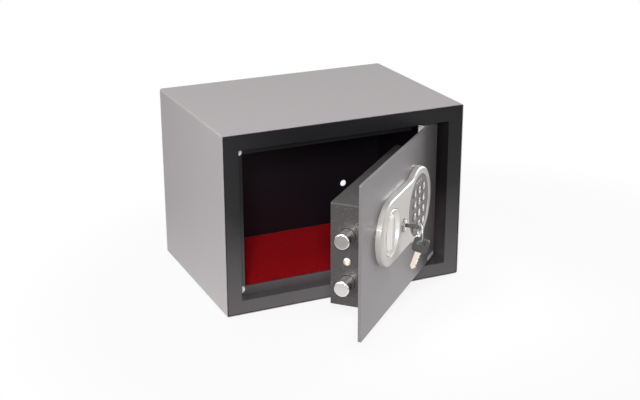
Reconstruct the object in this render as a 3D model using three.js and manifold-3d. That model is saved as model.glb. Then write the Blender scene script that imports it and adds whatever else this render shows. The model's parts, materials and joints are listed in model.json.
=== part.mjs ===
// Home electronic safe with an emergency key lock. A folded steel cabinet carries a slab door on two
// pins. The dished knob drives two round bolts through a crank, and the key lifts a locking pin by a
// spiral cam. The door stands open with the bolts thrown and the key turned.
// Millimetres, +Z up, front towards -Y, origin at the middle of the footprint on the base.
import * as THREE from 'three';
import { mergeVertices } from 'three/addons/utils/BufferGeometryUtils.js';
import Module from 'manifold-3d';

const wasm = await Module();
wasm.setup();

// Fits, shared by all pieces
const seat = 0.3; // gap between pieces that rest on each other inside the door
const running = 0.4; // radial clearance of what turns or slides
const overrun = 2; // how far a cut runs past the faces it opens

// Facets round a full circle
const fine = 40;
const medium = 24;
const coarse = 12;

// Cabinet
const cabinet = { width: 350, depth: 250, height: 250, sheet: 2, bend: 3 };
const cabinetFront = -cabinet.depth / 2;
const cabinetBack = cabinet.depth / 2;
const fixing = { holeRadius: 5, baseSpacing: 200, backSpacing: 228, backHeight: 65 };
const mat = { thickness: 1.5, margin: 4, frontMargin: 10 };

// Front frame: rims round the mouth, jamb folded in, stop flange, and the deep hinge side
const rim = { side: 22, top: 22, bottom: 20, sheet: 2 };
const mouth = {
  left: -cabinet.width / 2 + rim.side,
  right: cabinet.width / 2 - rim.side,
  bottom: rim.bottom,
  top: cabinet.height - rim.top,
};
const stop = { lip: 11.7, padRadius: 5, padThickness: 1.5, padInset: 6, padDrop: 8 };
const pocket = { width: 47, depth: 45 };

// Door slab, shut position; it is recessed into the mouth
const slab = { thickness: 4, recess: 13, freeGap: 2, hingeGap: 4.5, edgeGap: 2, corner: 1.5 };
const plate = {
  left: mouth.left + slab.freeGap,
  right: mouth.right - slab.hingeGap,
  bottom: mouth.bottom + slab.edgeGap,
  top: mouth.top - slab.edgeGap,
  front: cabinetFront + slab.recess,
  back: cabinetFront + slab.recess + slab.thickness,
};
const stopFront = plate.back + stop.padThickness + seat;
const stopBack = stopFront + rim.sheet;

// Hinge: a bar behind the slab carries two pins that turn in the frame's upper and lower walls
const hinge = { fromMouth: 21, behindSlab: 6, pinRadius: 4, pinDepth: 27, pinReach: 6, openAngle: 43.2 };
const bar = { left: 20, right: 8, depth: 11.7, endGap: 2 };
const pivot = { x: mouth.right - hinge.fromMouth, y: plate.back + hinge.behindSlab };

// Bolt box behind the slab, set in from its free edge and clear of the hinge bar
const boxMargin = { free: 16, hinge: 4 };
const box = {
  left: plate.left + boxMargin.free,
  right: pivot.x - bar.left - boxMargin.hinge,
  bottom: 60,
  top: 194,
  depth: 42,
  sheet: 1.5,
  bend: 2,
};
const fromBoxSide = { board: 8, cells: 44, reset: 24 };
const boxBack = plate.back + box.depth;
const boxScrew = { height: 120, headRadius: 5.5, headThickness: 2.6, shankRadius: 2, shankLength: 3.5 };

// Bolts and their carriage
const bolt = { radius: 10, upper: 153, lower: 91.5, throw: 21, chamfer: 1.2, neckRadius: 5, rivetRadius: 5.8 };
const boltAxis = plate.back + box.depth / 2 - 1;
const carriage = { flangeX: -101, thickness: 2.5, flangeMargin: 13, webBottom: 98, webTop: 160, webRight: -40 };
const web = { front: boltAxis - 9.2, back: boltAxis - 9.2 + carriage.thickness };
const guide = { radius: 2.9, headRadius: 5.5, headThickness: 2, height: 107.5, firstX: -74, secondX: -35 };
const tongueEnd = { lowerX: -25, lowerTop: 117, blockGap: 1 };

// Knob, spindle and crank
const knob = {
  x: -60, z: 134.4, radius: 30.4, lip: 2.3, proud: 0.2, dish: 6.2, wallCurve: 9, hubRadius: 6.2, hubLength: 3.8,
};
const finger = { length: 44, flare: 5.5, width: 8, foot: 1.5, waist: 1.2, proud: 0.6, round: 1.2 };
const spindle = { radius: 3, depth: 6.6, headRadius: 5, headThickness: 1.8 };
const crank = { radius: 12.7, thickness: 3, hubRadius: 9, eyeRadius: 5.5, pinRadius: 3, slack: 0.6, swing: 45 };
const boltTravel = 2 * crank.radius * Math.sin(THREE.MathUtils.degToRad(crank.swing));

// Moulded lock cover on the front of the slab
const cover = {
  depth: 8, wall: 2.2, face: 2, leftX: -60, leftRadius: 44, rightX: 49, rightRadius: 52, neck: 28, z: 134.4,
};
const coverFront = plate.front - cover.depth;
const coverBoss = { radius: 4, bore: 1.4, x: 0, spread: 30 };

// Keypad
const pad = { x: 48, z: 134, radius: 42, recess: 1, thickness: 2.6, lip: 2, boardRadius: 38, boardThickness: 1.5 };
const key = { columns: 3, rows: 4, pitchX: 18, pitchZ: 16, halfWidth: 6.6, halfHeight: 5.6, lift: 1.4 };
const keyFlange = { extra: 1.4, thickness: 0.8 };
const keyTravel = 1.2;
const keyTop = pad.z + 21.5;
const lamp = { count: 3, pitch: 9, radius: 1.6, rise: 33.5, flange: 0.9, flangeThickness: 0.7 };

// Emergency lock
const lock = { x: -13, z: 128, bodyRadius: 8, rimRadius: 9.5, rim: 1.6, plugRadius: 6, plugProud: 0.4, length: 29 };
const lockNut = { flats: 20, thickness: 4 };
const tail = { radius: 3, headRadius: 4.5, headThickness: 1.4 };
const keyTurn = 21.6; // tilt of the key's bow from level, right side down
const keyBlade = { width: 8, thickness: 2.1, inPlug: 25, tang: 6, cuts: 4, cutPitch: 4.4, cutRadius: 1.3 };
const bow = { width: 21, length: 19.5, thickness: 5, corner: 6, round: 1, holeWidth: 12, holeHeight: 5.6, bridge: 3.2 };

// Spiral cam, locking pin, its spring and the solenoid
const lift = { locked: 68.4, full: 21.6, rise: 8, height: 19.3, camThickness: 2.2, hubRadius: 7 };
const pin = { radius: 3, noseRadius: 2.5, noseRise: 12, collarRadius: 4.8, collar: 1.5, noseReach: 8.5 };
const spring = { wire: 0.45, turns: 5, radius: 4, length: 9.6 };
const solenoid = { width: 24, height: 19, frame: 2, coilRadius: 10.5, pinEngaged: 13 };

// Electronics and cells
const board = {
  left: 26,
  right: box.right - fromBoxSide.board,
  bottom: 138,
  top: 186,
  thickness: 1.6,
  standoff: 4,
  postRadius: 2,
  inset: 5,
};
const cell = {
  radius: 7.1,
  length: 50.5,
  capRadius: 2.7,
  cap: 1.2,
  count: 4,
  pitch: 15.2,
  x: box.right - fromBoxSide.cells,
  bottom: 70,
};
const tray = { wall: 1.8, floor: 1.6, play: 1, fingerNotch: 18 };
const batteryLid = { thickness: 2, lap: 3, lip: 3, lipWall: 1.4, pull: 9 };
const reset = {
  x: box.right - fromBoxSide.reset,
  z: 162,
  radius: 2.4,
  collar: 4,
  collarThickness: 1.6,
  proud: 2,
  travel: 1.5,
  body: 14,
  depth: 11,
};

// Split ring and spare key
const ring = { radius: 12.5, wire: 0.7, turn: 58, aside: 3, slack: 0.5, hang: 1.1 };
const spare = { facing: 67.9, lean: 18, aside: 2.5 };

const rad = THREE.MathUtils.degToRad;

// Solids from three.js geometry, cut and joined
const solid = (geometry) => {
  const bare = new THREE.BufferGeometry();
  const source = geometry.index ? geometry.toNonIndexed() : geometry;
  bare.setAttribute('position', source.getAttribute('position').clone());
  const merged = mergeVertices(bare);
  const corners = Uint32Array.from(merged.index.array);
  const kept = [];
  for (let i = 0; i < corners.length; i += 3) {
    const [a, b, c] = corners.subarray(i, i + 3);
    if (a !== b && b !== c && c !== a) kept.push(a, b, c);
  }
  const vertProperties = Float32Array.from(merged.getAttribute('position').array);
  return new wasm.Manifold(new wasm.Mesh({ numProp: 3, vertProperties, triVerts: Uint32Array.from(kept) }));
};

const geometryOf = (manifold) => {
  const { vertProperties, triVerts, numProp } = manifold.getMesh();
  const points = new Float32Array((vertProperties.length / numProp) * 3);
  for (let i = 0; i < points.length / 3; i += 1) {
    points.set(vertProperties.subarray(i * numProp, i * numProp + 3), i * 3);
  }
  const geometry = new THREE.BufferGeometry();
  geometry.setAttribute('position', new THREE.BufferAttribute(points, 3));
  geometry.setIndex(new THREE.BufferAttribute(Uint32Array.from(triVerts), 1));
  geometry.computeVertexNormals();
  return geometry;
};

const join = (...parts) => parts.reduce((whole, part) => whole.add(part));
const cut = (body, ...tools) => tools.reduce((rest, tool) => rest.subtract(tool), body);

const block = ([x0, x1], [y0, y1], [z0, z1]) => {
  const geometry = new THREE.BoxGeometry(x1 - x0, y1 - y0, z1 - z0);
  geometry.translate((x0 + x1) / 2, (y0 + y1) / 2, (z0 + z1) / 2);
  return solid(geometry);
};

// A shape drawn in the plane across the axis, pushed along the axis from one place to another
const prism = (shape, axis, from, to, steps = fine) => {
  const settings = { depth: to - from, bevelEnabled: false, curveSegments: steps / 4 };
  const geometry = new THREE.ExtrudeGeometry(shape, settings);
  if (axis === 'y') geometry.rotateX(Math.PI / 2).translate(0, to, 0);
  if (axis === 'x') geometry.rotateY(Math.PI / 2).rotateX(Math.PI / 2).translate(from, 0, 0);
  if (axis === 'z') geometry.translate(0, 0, from);
  return solid(geometry);
};

const rectangle = (left, right, bottom, top, corner = 0) => {
  const shape = new THREE.Shape();
  if (corner === 0) {
    shape.setFromPoints([
      new THREE.Vector2(left, bottom),
      new THREE.Vector2(right, bottom),
      new THREE.Vector2(right, top),
      new THREE.Vector2(left, top),
    ]);
    return shape;
  }
  const quarter = Math.PI / 2;
  shape.absarc(right - corner, bottom + corner, corner, -quarter, 0);
  shape.absarc(right - corner, top - corner, corner, 0, quarter);
  shape.absarc(left + corner, top - corner, corner, quarter, 2 * quarter);
  shape.absarc(left + corner, bottom + corner, corner, 2 * quarter, 3 * quarter);
  shape.closePath();
  return shape;
};

// Cylinder along an axis, centred on the other two coordinates in x, y, z order
const rod = (axis, radius, from, to, a, b, sides = medium) => {
  const geometry = new THREE.CylinderGeometry(radius, radius, to - from, sides);
  const middle = (from + to) / 2;
  if (axis === 'x') geometry.rotateZ(-Math.PI / 2).translate(middle, a, b);
  if (axis === 'y') geometry.translate(a, middle, b);
  if (axis === 'z') geometry.rotateX(Math.PI / 2).translate(a, b, middle);
  return solid(geometry);
};

// Turned piece: a profile of [radius, station] pairs, listed towards increasing station
const turned = (axis, profile, a, b, sides = medium) => {
  const points = profile.map(([radius, station]) => new THREE.Vector2(radius, station));
  const geometry = new THREE.LatheGeometry(points, sides);
  if (axis === 'x') geometry.rotateZ(-Math.PI / 2).translate(0, a, b);
  if (axis === 'y') geometry.translate(a, 0, b);
  if (axis === 'z') geometry.rotateX(Math.PI / 2).translate(a, b, 0);
  return solid(geometry);
};

// Loft along Y through rings of equal point counts; each ring is [y, points in x and z]
const loft = (rings) => {
  const count = rings[0][1].length;
  const positions = rings.flatMap(([y, points]) => points.flatMap((point) => [point.x, y, point.y]));
  const index = [];
  for (let ring = 0; ring + 1 < rings.length; ring += 1) {
    for (let i = 0; i < count; i += 1) {
      const next = (i + 1) % count;
      const low = ring * count;
      const high = low + count;
      index.push(low + i, high + i, low + next, low + next, high + i, high + next);
    }
  }
  const last = (rings.length - 1) * count;
  THREE.ShapeUtils.triangulateShape(rings[0][1], []).forEach(([a, b, c]) => index.push(a, b, c));
  THREE.ShapeUtils.triangulateShape(rings[rings.length - 1][1], []).forEach(([a, b, c]) => {
    index.push(last + a, last + c, last + b);
  });
  const geometry = new THREE.BufferGeometry();
  geometry.setAttribute('position', new THREE.Float32BufferAttribute(positions, 3));
  geometry.setIndex(index);
  return solid(geometry);
};

const ellipse = (x, z, halfWidth, halfHeight, sides = coarse) =>
  Array.from({ length: sides }, (unused, i) => {
    const angle = (2 * Math.PI * i) / sides;
    return new THREE.Vector2(x + halfWidth * Math.cos(angle), z + halfHeight * Math.sin(angle));
  });

// Lever outline: two circles joined by their common tangents
const leverShape = (x0, z0, r0, x1, z1, r1) => {
  const heading = Math.atan2(z1 - z0, x1 - x0);
  const spread = Math.acos((r0 - r1) / Math.hypot(x1 - x0, z1 - z0));
  const shape = new THREE.Shape();
  shape.absarc(x1, z1, r1, heading - spread, heading + spread);
  shape.absarc(x0, z0, r0, heading + spread, heading - spread + 2 * Math.PI);
  shape.closePath();
  return shape;
};

// Materials
const finishes = {
  paintedSteel: { color: '#8f8c8e', roughness: 0.45, metalness: 0.1 },
  darkSteel: { color: '#2b2a2c', roughness: 0.5, metalness: 0.1 },
  slabSteel: { color: '#85827f', roughness: 0.45, metalness: 0.1 },
  boxSteel: { color: '#504b48', roughness: 0.6, metalness: 0.1 },
  chrome: { color: '#d8d8da', roughness: 0.15, metalness: 1 },
  zincSteel: { color: '#b9b6ad', roughness: 0.4, metalness: 0.9 },
  brass: { color: '#c9a44c', roughness: 0.35, metalness: 0.9 },
  silverPlastic: { color: '#c3beba', roughness: 0.4, metalness: 0.3 },
  padGrey: { color: '#6a6567', roughness: 0.6, metalness: 0 },
  keyGrey: { color: '#78757a', roughness: 0.6, metalness: 0 },
  blackPlastic: { color: '#1f1e20', roughness: 0.45, metalness: 0 },
  lampClear: { color: '#d9d4d0', roughness: 0.2, metalness: 0 },
  carpet: { color: '#a01620', roughness: 0.95, metalness: 0 },
  feltPad: { color: '#cfcbc6', roughness: 0.7, metalness: 0 },
  circuit: { color: '#2f6b3f', roughness: 0.6, metalness: 0 },
  cellWrap: { color: '#3a4654', roughness: 0.4, metalness: 0.2 },
  redPlastic: { color: '#b02a24', roughness: 0.45, metalness: 0 },
};

const piece = (name, manifold, finish) => {
  const mesh = new THREE.Mesh(geometryOf(manifold), new THREE.MeshStandardMaterial(finishes[finish]));
  mesh.name = name;
  return mesh;
};

// Cabinet pieces
const bodyWrap = () => {
  const { width, height, sheet, bend } = cabinet;
  const outside = rectangle(-width / 2, width / 2, 0, height, bend);
  const inside = rectangle(-width / 2 + sheet, width / 2 - sheet, sheet, height - sheet, bend - sheet);
  const tube = cut(
    prism(outside, 'y', cabinetFront, cabinetBack),
    prism(inside, 'y', cabinetFront - overrun, cabinetBack + overrun),
  );
  const holes = [-1, 1].map((side) =>
    rod('z', fixing.holeRadius, -overrun, sheet + overrun, (side * fixing.baseSpacing) / 2, 0),
  );
  return piece('body_wrap', cut(tube, ...holes), 'paintedSteel');
};

const innerBend = cabinet.bend - cabinet.sheet;

const insideSheet = (margin) => {
  const { width, height, sheet } = cabinet;
  return [-width / 2 + sheet + margin, width / 2 - sheet - margin, sheet + margin, height - sheet - margin];
};

const backPanel = () => {
  const panel = prism(rectangle(...insideSheet(seat), innerBend), 'y', cabinetBack - cabinet.sheet, cabinetBack);
  const holes = [-1, 1].map((side) =>
    rod(
      'y',
      fixing.holeRadius,
      cabinetBack - cabinet.sheet - overrun,
      cabinetBack + overrun,
      (side * fixing.backSpacing) / 2,
      fixing.backHeight,
    ),
  );
  return piece('back_panel', cut(panel, ...holes), 'paintedSteel');
};

const frontFrame = () => {
  const { sheet } = rim;
  const faceBack = cabinetFront + sheet;
  const pocketLeft = mouth.right - pocket.width;
  const pocketBack = cabinetFront + pocket.depth;
  const hole = rectangle(mouth.left, mouth.right, mouth.bottom, mouth.top);
  const folded = [mouth.left - sheet, mouth.right + sheet, mouth.bottom - sheet, mouth.top + sheet];
  const face = prism(rectangle(...insideSheet(seat), innerBend), 'y', cabinetFront, faceBack);
  const jamb = prism(rectangle(...folded), 'y', faceBack, stopBack);
  const deepJamb = prism(rectangle(pocketLeft, folded[1], folded[2], folded[3]), 'y', stopBack, pocketBack);
  const lips = cut(
    prism(rectangle(mouth.left, pocketLeft, mouth.bottom, mouth.top), 'y', stopFront, stopBack),
    prism(
      rectangle(
        mouth.left + stop.lip,
        pocketLeft + overrun,
        mouth.bottom + stop.lip,
        mouth.top - stop.lip,
      ),
      'y',
      stopFront - overrun,
      stopBack + overrun,
    ),
  );
  const shell = cut(join(face, jamb, deepJamb), prism(hole, 'y', cabinetFront - overrun, pocketBack + overrun));
  const pivotHole = rod(
    'z',
    hinge.pinRadius + running,
    mouth.bottom - sheet - overrun,
    mouth.top + sheet + overrun,
    pivot.x,
    pivot.y,
  );
  return piece('front_frame', cut(join(shell, lips), pivotHole), 'darkSteel');
};

const floorMat = () => {
  const half = cabinet.width / 2 - cabinet.sheet - mat.margin;
  const front = cabinetFront + pocket.depth + mat.frontMargin;
  const back = cabinetBack - cabinet.sheet - mat.margin;
  const sheet = block([-half, half], [front, back], [cabinet.sheet, cabinet.sheet + mat.thickness]);
  return piece('floor_mat', sheet, 'carpet');
};

const stopPad = (name, z) => {
  const x = mouth.left + stop.padInset;
  const disc = rod('y', stop.padRadius, stopFront - stop.padThickness, stopFront, x, z, medium);
  return piece(name, disc, 'feltPad');
};

// Door slab and hinge
const doorPlate = () => {
  const sheet = prism(
    rectangle(plate.left, plate.right, plate.bottom, plate.top, slab.corner),
    'y',
    plate.front,
    plate.back,
  );
  const through = (radius, x, z) => rod('y', radius, plate.front - overrun, plate.back + overrun, x, z);
  const wireSlot = rectangle(
    pad.x - key.pitchX / 2,
    pad.x + key.pitchX / 2,
    board.bottom + board.inset,
    board.bottom + board.inset + key.lift * 3,
    key.lift,
  );
  const posts = [board.left + board.inset, board.right - board.inset].flatMap((x) =>
    [board.bottom + board.inset, board.top - board.inset].map((z) =>
      rod(
        'y',
        board.postRadius,
        plate.back - slab.thickness / 2,
        plate.back + board.standoff + board.thickness + seat,
        x,
        z,
        coarse,
      ),
    ),
  );
  const holes = [
    through(knob.hubRadius + running, knob.x, knob.z),
    through(lock.bodyRadius + seat, lock.x, lock.z),
    prism(wireSlot, 'y', plate.front - overrun, plate.back + overrun, coarse),
  ];
  return piece('door_plate', join(cut(sheet, ...holes), ...posts), 'slabSteel');
};

const barEnds = [plate.bottom + bar.endGap, plate.top - bar.endGap];

const hingeBar = () => {
  const body = block(
    [pivot.x - bar.left, pivot.x + bar.right],
    [plate.back + seat, plate.back + seat + bar.depth],
    barEnds,
  );
  const bore = hinge.pinRadius + seat;
  const depth = hinge.pinDepth + seat;
  const lower = rod('z', bore, barEnds[0] - overrun, barEnds[0] + depth, pivot.x, pivot.y);
  const upper = rod('z', bore, barEnds[1] - depth, barEnds[1] + overrun, pivot.x, pivot.y);
  return piece('hinge_bar', cut(body, lower, upper), 'zincSteel');
};

const hingePin = (name, from, to) =>
  piece(name, rod('z', hinge.pinRadius, from, to, pivot.x, pivot.y), 'zincSteel');

// Bolt box: five walls, open towards the slab, with the battery window in its back
const cellStack = {
  left: cell.x - cell.length / 2 - tray.play,
  right: cell.x + cell.length / 2 + tray.play,
  bottom: cell.bottom,
  top: cell.bottom + cell.count * cell.pitch,
};

const boltBox = () => {
  const front = plate.back + seat;
  const { left, right, bottom, top, sheet, bend } = box;
  const outside = rectangle(left, right, bottom, top, bend);
  const inside = rectangle(left + sheet, right - sheet, bottom + sheet, top - sheet, bend - sheet);
  const shell = cut(
    prism(outside, 'y', front, boxBack),
    prism(inside, 'y', front - overrun, boxBack - sheet),
  );
  const side = (radius, z) => rod('x', radius, left - overrun, left + sheet + overrun, boltAxis, z);
  const window = rectangle(cellStack.left, cellStack.right, cellStack.bottom, cellStack.top, bend);
  return piece(
    'bolt_box',
    cut(
      shell,
      side(bolt.radius + running, bolt.upper),
      side(bolt.radius + running, bolt.lower),
      side(boxScrew.shankRadius + seat, boxScrew.height),
      prism(window, 'y', boxBack - sheet - overrun, boxBack + overrun, coarse),
      rod('y', reset.radius + running, boxBack - sheet - overrun, boxBack + overrun, reset.x, reset.z, coarse),
    ),
    'boxSteel',
  );
};

const boxScrewPiece = () => {
  const seatX = box.left - seat;
  const { headRadius, headThickness, shankRadius, shankLength } = boxScrew;
  const profile = [
    [0, seatX - headThickness],
    [headRadius * 0.55, seatX - headThickness],
    [headRadius * 0.88, seatX - headThickness * 0.65],
    [headRadius, seatX],
    [shankRadius, seatX],
    [shankRadius, box.left + shankLength],
    [0, box.left + shankLength],
  ];
  const head = turned('x', profile, boltAxis, boxScrew.height);
  const slotHalf = shankRadius * 0.35;
  const slot = block(
    [seatX - headThickness - overrun, seatX - headThickness * 0.45],
    [boltAxis - headRadius - overrun, boltAxis + headRadius + overrun],
    [boxScrew.height - slotHalf, boxScrew.height + slotHalf],
  );
  return piece('box_screw', cut(head, slot), 'brass');
};

// Boltwork
const pinAngle = rad(90 + crank.swing);
const pinAtRest = {
  x: knob.x + crank.radius * Math.cos(pinAngle),
  z: knob.z + crank.radius * Math.sin(pinAngle),
};

const roundBolt = (name, z) => {
  const tip = box.left - bolt.throw;
  const flangeFront = carriage.flangeX;
  const flangeBack = carriage.flangeX + carriage.thickness;
  const profile = [
    [0, tip],
    [bolt.radius - bolt.chamfer, tip],
    [bolt.radius, tip + bolt.chamfer],
    [bolt.radius, flangeFront - seat],
    [bolt.neckRadius, flangeFront - seat],
    [bolt.neckRadius, flangeBack + seat],
    [bolt.rivetRadius, flangeBack + seat],
    [bolt.rivetRadius, flangeBack + seat + bolt.chamfer],
    [0, flangeBack + seat + bolt.chamfer],
  ];
  return piece(name, turned('x', profile, boltAxis, z), 'chrome');
};

const slot = (fromX, toX, fromZ, toZ, radius) =>
  prism(
    rectangle(fromX - radius, toX + radius, fromZ - radius, toZ + radius, radius),
    'y',
    web.front - overrun,
    web.back + overrun,
    medium,
  );

const boltCarriage = () => {
  const { flangeX, thickness, flangeMargin, webBottom, webTop, webRight } = carriage;
  const tongueZ = knob.z + crank.radius + crank.pinRadius;
  const tongueRight = lock.x - pin.noseRadius - tongueEnd.blockGap;
  const flange = block(
    [flangeX, flangeX + thickness],
    [web.front, boltAxis + bolt.radius],
    [bolt.lower - flangeMargin, bolt.upper + flangeMargin],
  );
  const main = block([flangeX, webRight], [web.front, web.back], [webBottom, webTop]);
  const arm = block(
    [webRight - thickness, tongueRight],
    [web.front, web.back],
    [tongueZ - bolt.radius, tongueZ + thickness / 2],
  );
  const lowerArm = block([webRight - thickness, tongueEnd.lowerX], [web.front, web.back], [webBottom, tongueEnd.lowerTop]);
  const studs = [guide.firstX, guide.secondX].map((x) =>
    slot(x - boltTravel, x, guide.height, guide.height, guide.radius + running),
  );
  const drive = slot(
    pinAtRest.x,
    pinAtRest.x,
    pinAtRest.z,
    knob.z + crank.radius,
    crank.pinRadius + crank.slack,
  );
  const necks = [bolt.upper, bolt.lower].map((z) =>
    rod('x', bolt.neckRadius + seat, flangeX - overrun, flangeX + thickness + overrun, boltAxis, z),
  );
  return piece('bolt_carriage', cut(join(flange, main, arm, lowerArm), ...studs, drive, ...necks), 'zincSteel');
};

const guideStud = (name, x) => {
  const profile = [
    [0, plate.back + seat],
    [guide.headRadius, plate.back + seat],
    [guide.headRadius, web.front - running],
    [guide.radius, web.front - running],
    [guide.radius, web.back + running],
    [guide.headRadius, web.back + running],
    [guide.headRadius, web.back + running + guide.headThickness],
    [0, web.back + running + guide.headThickness],
  ];
  return piece(name, turned('y', profile, x, guide.height), 'zincSteel');
};

// Knob: a dished disc with a waisted finger bar, turned and lofted
const knobFront = coverFront - knob.proud;
const dishRadius = knob.radius - knob.lip;
const dishY = (r) => knobFront + knob.dish * (1 - (r / dishRadius) ** knob.wallCurve);
const fingerTop = coverFront - finger.proud;
const spindleEnd = fingerTop + spindle.depth;
const hubEnd = plate.front - seat + knob.hubLength;

const fingerOutline = (halfLength, halfWidth) => {
  const shape = new THREE.Shape();
  const reach = halfLength - halfWidth;
  const waist = halfWidth - finger.waist * 2;
  shape.absarc(knob.x, knob.z + reach, halfWidth, 0, Math.PI);
  shape.quadraticCurveTo(knob.x - waist, knob.z, knob.x - halfWidth, knob.z - reach);
  shape.absarc(knob.x, knob.z - reach, halfWidth, Math.PI, 2 * Math.PI);
  shape.quadraticCurveTo(knob.x + waist, knob.z, knob.x + halfWidth, knob.z + reach);
  const points = shape.getPoints(coarse / 2);
  return points.filter((point, i) => i === 0 || point.distanceTo(points[i - 1]) > seat / 10).slice(0, -1);
};

const knobPiece = () => {
  const steps = 7;
  const dish = Array.from({ length: steps + 1 }, (unused, i) => {
    const r = dishRadius * Math.sin((Math.PI / 2) * (i / steps));
    return [r, dishY(r)];
  });
  const back = plate.front - seat;
  const profile = [
    ...dish,
    [knob.radius - knob.lip / 2, knobFront],
    [knob.radius, knobFront + knob.lip / 2],
    [knob.radius, back],
    [knob.hubRadius, back],
    [knob.hubRadius, hubEnd],
    [0, hubEnd],
  ];
  const disc = turned('y', profile, knob.x, knob.z, fine);
  const { length, flare, width, foot, round } = finger;
  const grip = loft([
    [fingerTop, fingerOutline(length / 2 - round, width / 2 - round * 0.8)],
    [fingerTop + round * 0.3, fingerOutline(length / 2 - round * 0.3, width / 2 - round * 0.25)],
    [fingerTop + round, fingerOutline(length / 2, width / 2)],
    [knobFront + knob.dish, fingerOutline(length / 2 + flare, width / 2 + foot / 2)],
  ]);
  const inside = rod('y', dishRadius, fingerTop - overrun, back, knob.x, knob.z, fine);
  const socket = rod('y', spindle.radius + seat, spindleEnd - seat, hubEnd + overrun, knob.x, knob.z, coarse);
  return piece('knob', cut(join(disc, grip.intersect(inside)), socket), 'silverPlastic');
};

const crankFront = plate.back + running;
const crankBack = crankFront + crank.thickness;

const knobSpindle = () => {
  const profile = [
    [0, spindleEnd],
    [spindle.radius, spindleEnd],
    [spindle.radius, crankBack + seat],
    [spindle.headRadius, crankBack + seat],
    [spindle.headRadius, crankBack + seat + spindle.headThickness],
    [0, crankBack + seat + spindle.headThickness],
  ];
  return piece('knob_spindle', turned('y', profile, knob.x, knob.z, coarse), 'zincSteel');
};

const knobCrank = () => {
  const outline = leverShape(knob.x, knob.z, crank.hubRadius, pinAtRest.x, pinAtRest.z, crank.eyeRadius);
  const lever = prism(outline, 'y', crankFront, crankBack, medium);
  const drive = rod(
    'y',
    crank.pinRadius,
    crankBack - crank.thickness / 2,
    web.back + carriage.thickness,
    pinAtRest.x,
    pinAtRest.z,
  );
  const bore = rod('y', spindle.radius + seat, crankFront - overrun, crankBack + overrun, knob.x, knob.z, coarse);
  return piece('knob_crank', cut(join(lever, drive), bore), 'zincSteel');
};

// Lock cover: a moulded two-lobed shell; every station of its side is the same outline, offset
const coverOutline = (offset) => {
  const { leftX, leftRadius, rightX, rightRadius, neck, z } = cover;
  const left = leftRadius + offset;
  const right = rightRadius + offset;
  const fillet = neck - offset;
  const run = Math.sqrt((rightRadius + neck) ** 2 - (leftRadius + neck) ** 2);
  const turn = Math.atan2(leftRadius + neck, run);
  const shape = new THREE.Shape();
  shape.absarc(rightX, z, right, turn - Math.PI, Math.PI - turn);
  shape.absarc(rightX - run, z + leftRadius + neck, fillet, -turn, -Math.PI / 2, true);
  shape.absarc(leftX, z, left, Math.PI / 2, (3 * Math.PI) / 2);
  shape.absarc(rightX - run, z - leftRadius - neck, fillet, Math.PI / 2, turn, true);
  return shape;
};

const coverRing = (offset) => {
  const points = coverOutline(offset).getPoints(coarse);
  const kept = points.filter((point, i) => i === 0 || point.distanceTo(points[i - 1]) > seat / 10);
  return kept[0].distanceTo(kept[kept.length - 1]) < seat / 10 ? kept.slice(0, -1) : kept;
};

const coverDraftShares = [
  [1, -0.5],
  [0.97, -0.3],
  [0.9, -0.14],
  [0.78, -0.06],
  [0, 0],
];

const lockCover = () => {
  const back = plate.front - seat;
  const stations = coverDraftShares.map(([depth, inward]) => [
    back - (cover.depth - seat) * depth,
    coverRing(inward * cover.depth),
  ]);
  const inner = coverRing(-cover.wall - cover.depth * 0.08);
  const hollow = loft([
    [coverFront + cover.face, inner],
    [back + overrun, inner],
  ]);
  const wellRadius = knob.radius + running;
  const padHole = pad.radius + seat;
  const well = (radius, x, z, wall) =>
    cut(
      rod('y', radius + wall, coverFront + cover.face / 2, back, x, z, fine),
      rod('y', radius, coverFront - overrun, back + overrun, x, z, fine),
    );
  const bosses = [-1, 1].map((side) =>
    cut(
      rod('y', coverBoss.radius, coverFront + cover.face / 2, back, coverBoss.x, cover.z + side * coverBoss.spread, coarse),
      rod(
        'y',
        coverBoss.bore,
        coverFront + cover.face,
        back + overrun,
        coverBoss.x,
        cover.z + side * coverBoss.spread,
        coarse,
      ),
    ),
  );
  const opened = (radius, x, z) => rod('y', radius, coverFront - overrun, back + overrun, x, z, fine);
  const shell = cut(loft(stations), hollow);
  return piece(
    'lock_cover',
    cut(
      join(shell, well(wellRadius, knob.x, knob.z, cover.wall / 2), ...bosses),
      opened(wellRadius, knob.x, knob.z),
      opened(padHole, pad.x, pad.z),
      opened(lock.bodyRadius + seat, lock.x, lock.z),
    ),
    'silverPlastic',
  );
};

// Keypad
const padFront = coverFront + pad.recess;
const padBack = padFront + pad.thickness;
const lipFront = coverFront + cover.face + seat;
const keyPlaces = Array.from({ length: key.rows * key.columns }, (unused, i) => ({
  x: pad.x + ((i % key.columns) - (key.columns - 1) / 2) * key.pitchX,
  z: keyTop - Math.floor(i / key.columns) * key.pitchZ,
}));
const lampPlaces = Array.from({ length: lamp.count }, (unused, i) => ({
  x: pad.x + (i - (lamp.count - 1) / 2) * lamp.pitch,
  z: pad.z + lamp.rise,
}));

const keypadPanel = () => {
  const disc = join(
    rod('y', pad.radius, padFront, padBack, pad.x, pad.z, fine),
    rod('y', pad.radius + pad.lip, lipFront, padBack, pad.x, pad.z, fine),
  );
  const keyHoles = keyPlaces.map(({ x, z }) => {
    const edge = ellipse(x, z, key.halfWidth + running, key.halfHeight + running);
    return loft([[padFront - overrun, edge], [padBack + overrun, edge]]);
  });
  const lampHoles = lampPlaces.map(({ x, z }) =>
    rod('y', lamp.radius + seat, padFront - overrun, padBack + overrun, x, z, coarse),
  );
  return piece('keypad_panel', cut(disc, ...keyHoles, ...lampHoles), 'padGrey');
};

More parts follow.
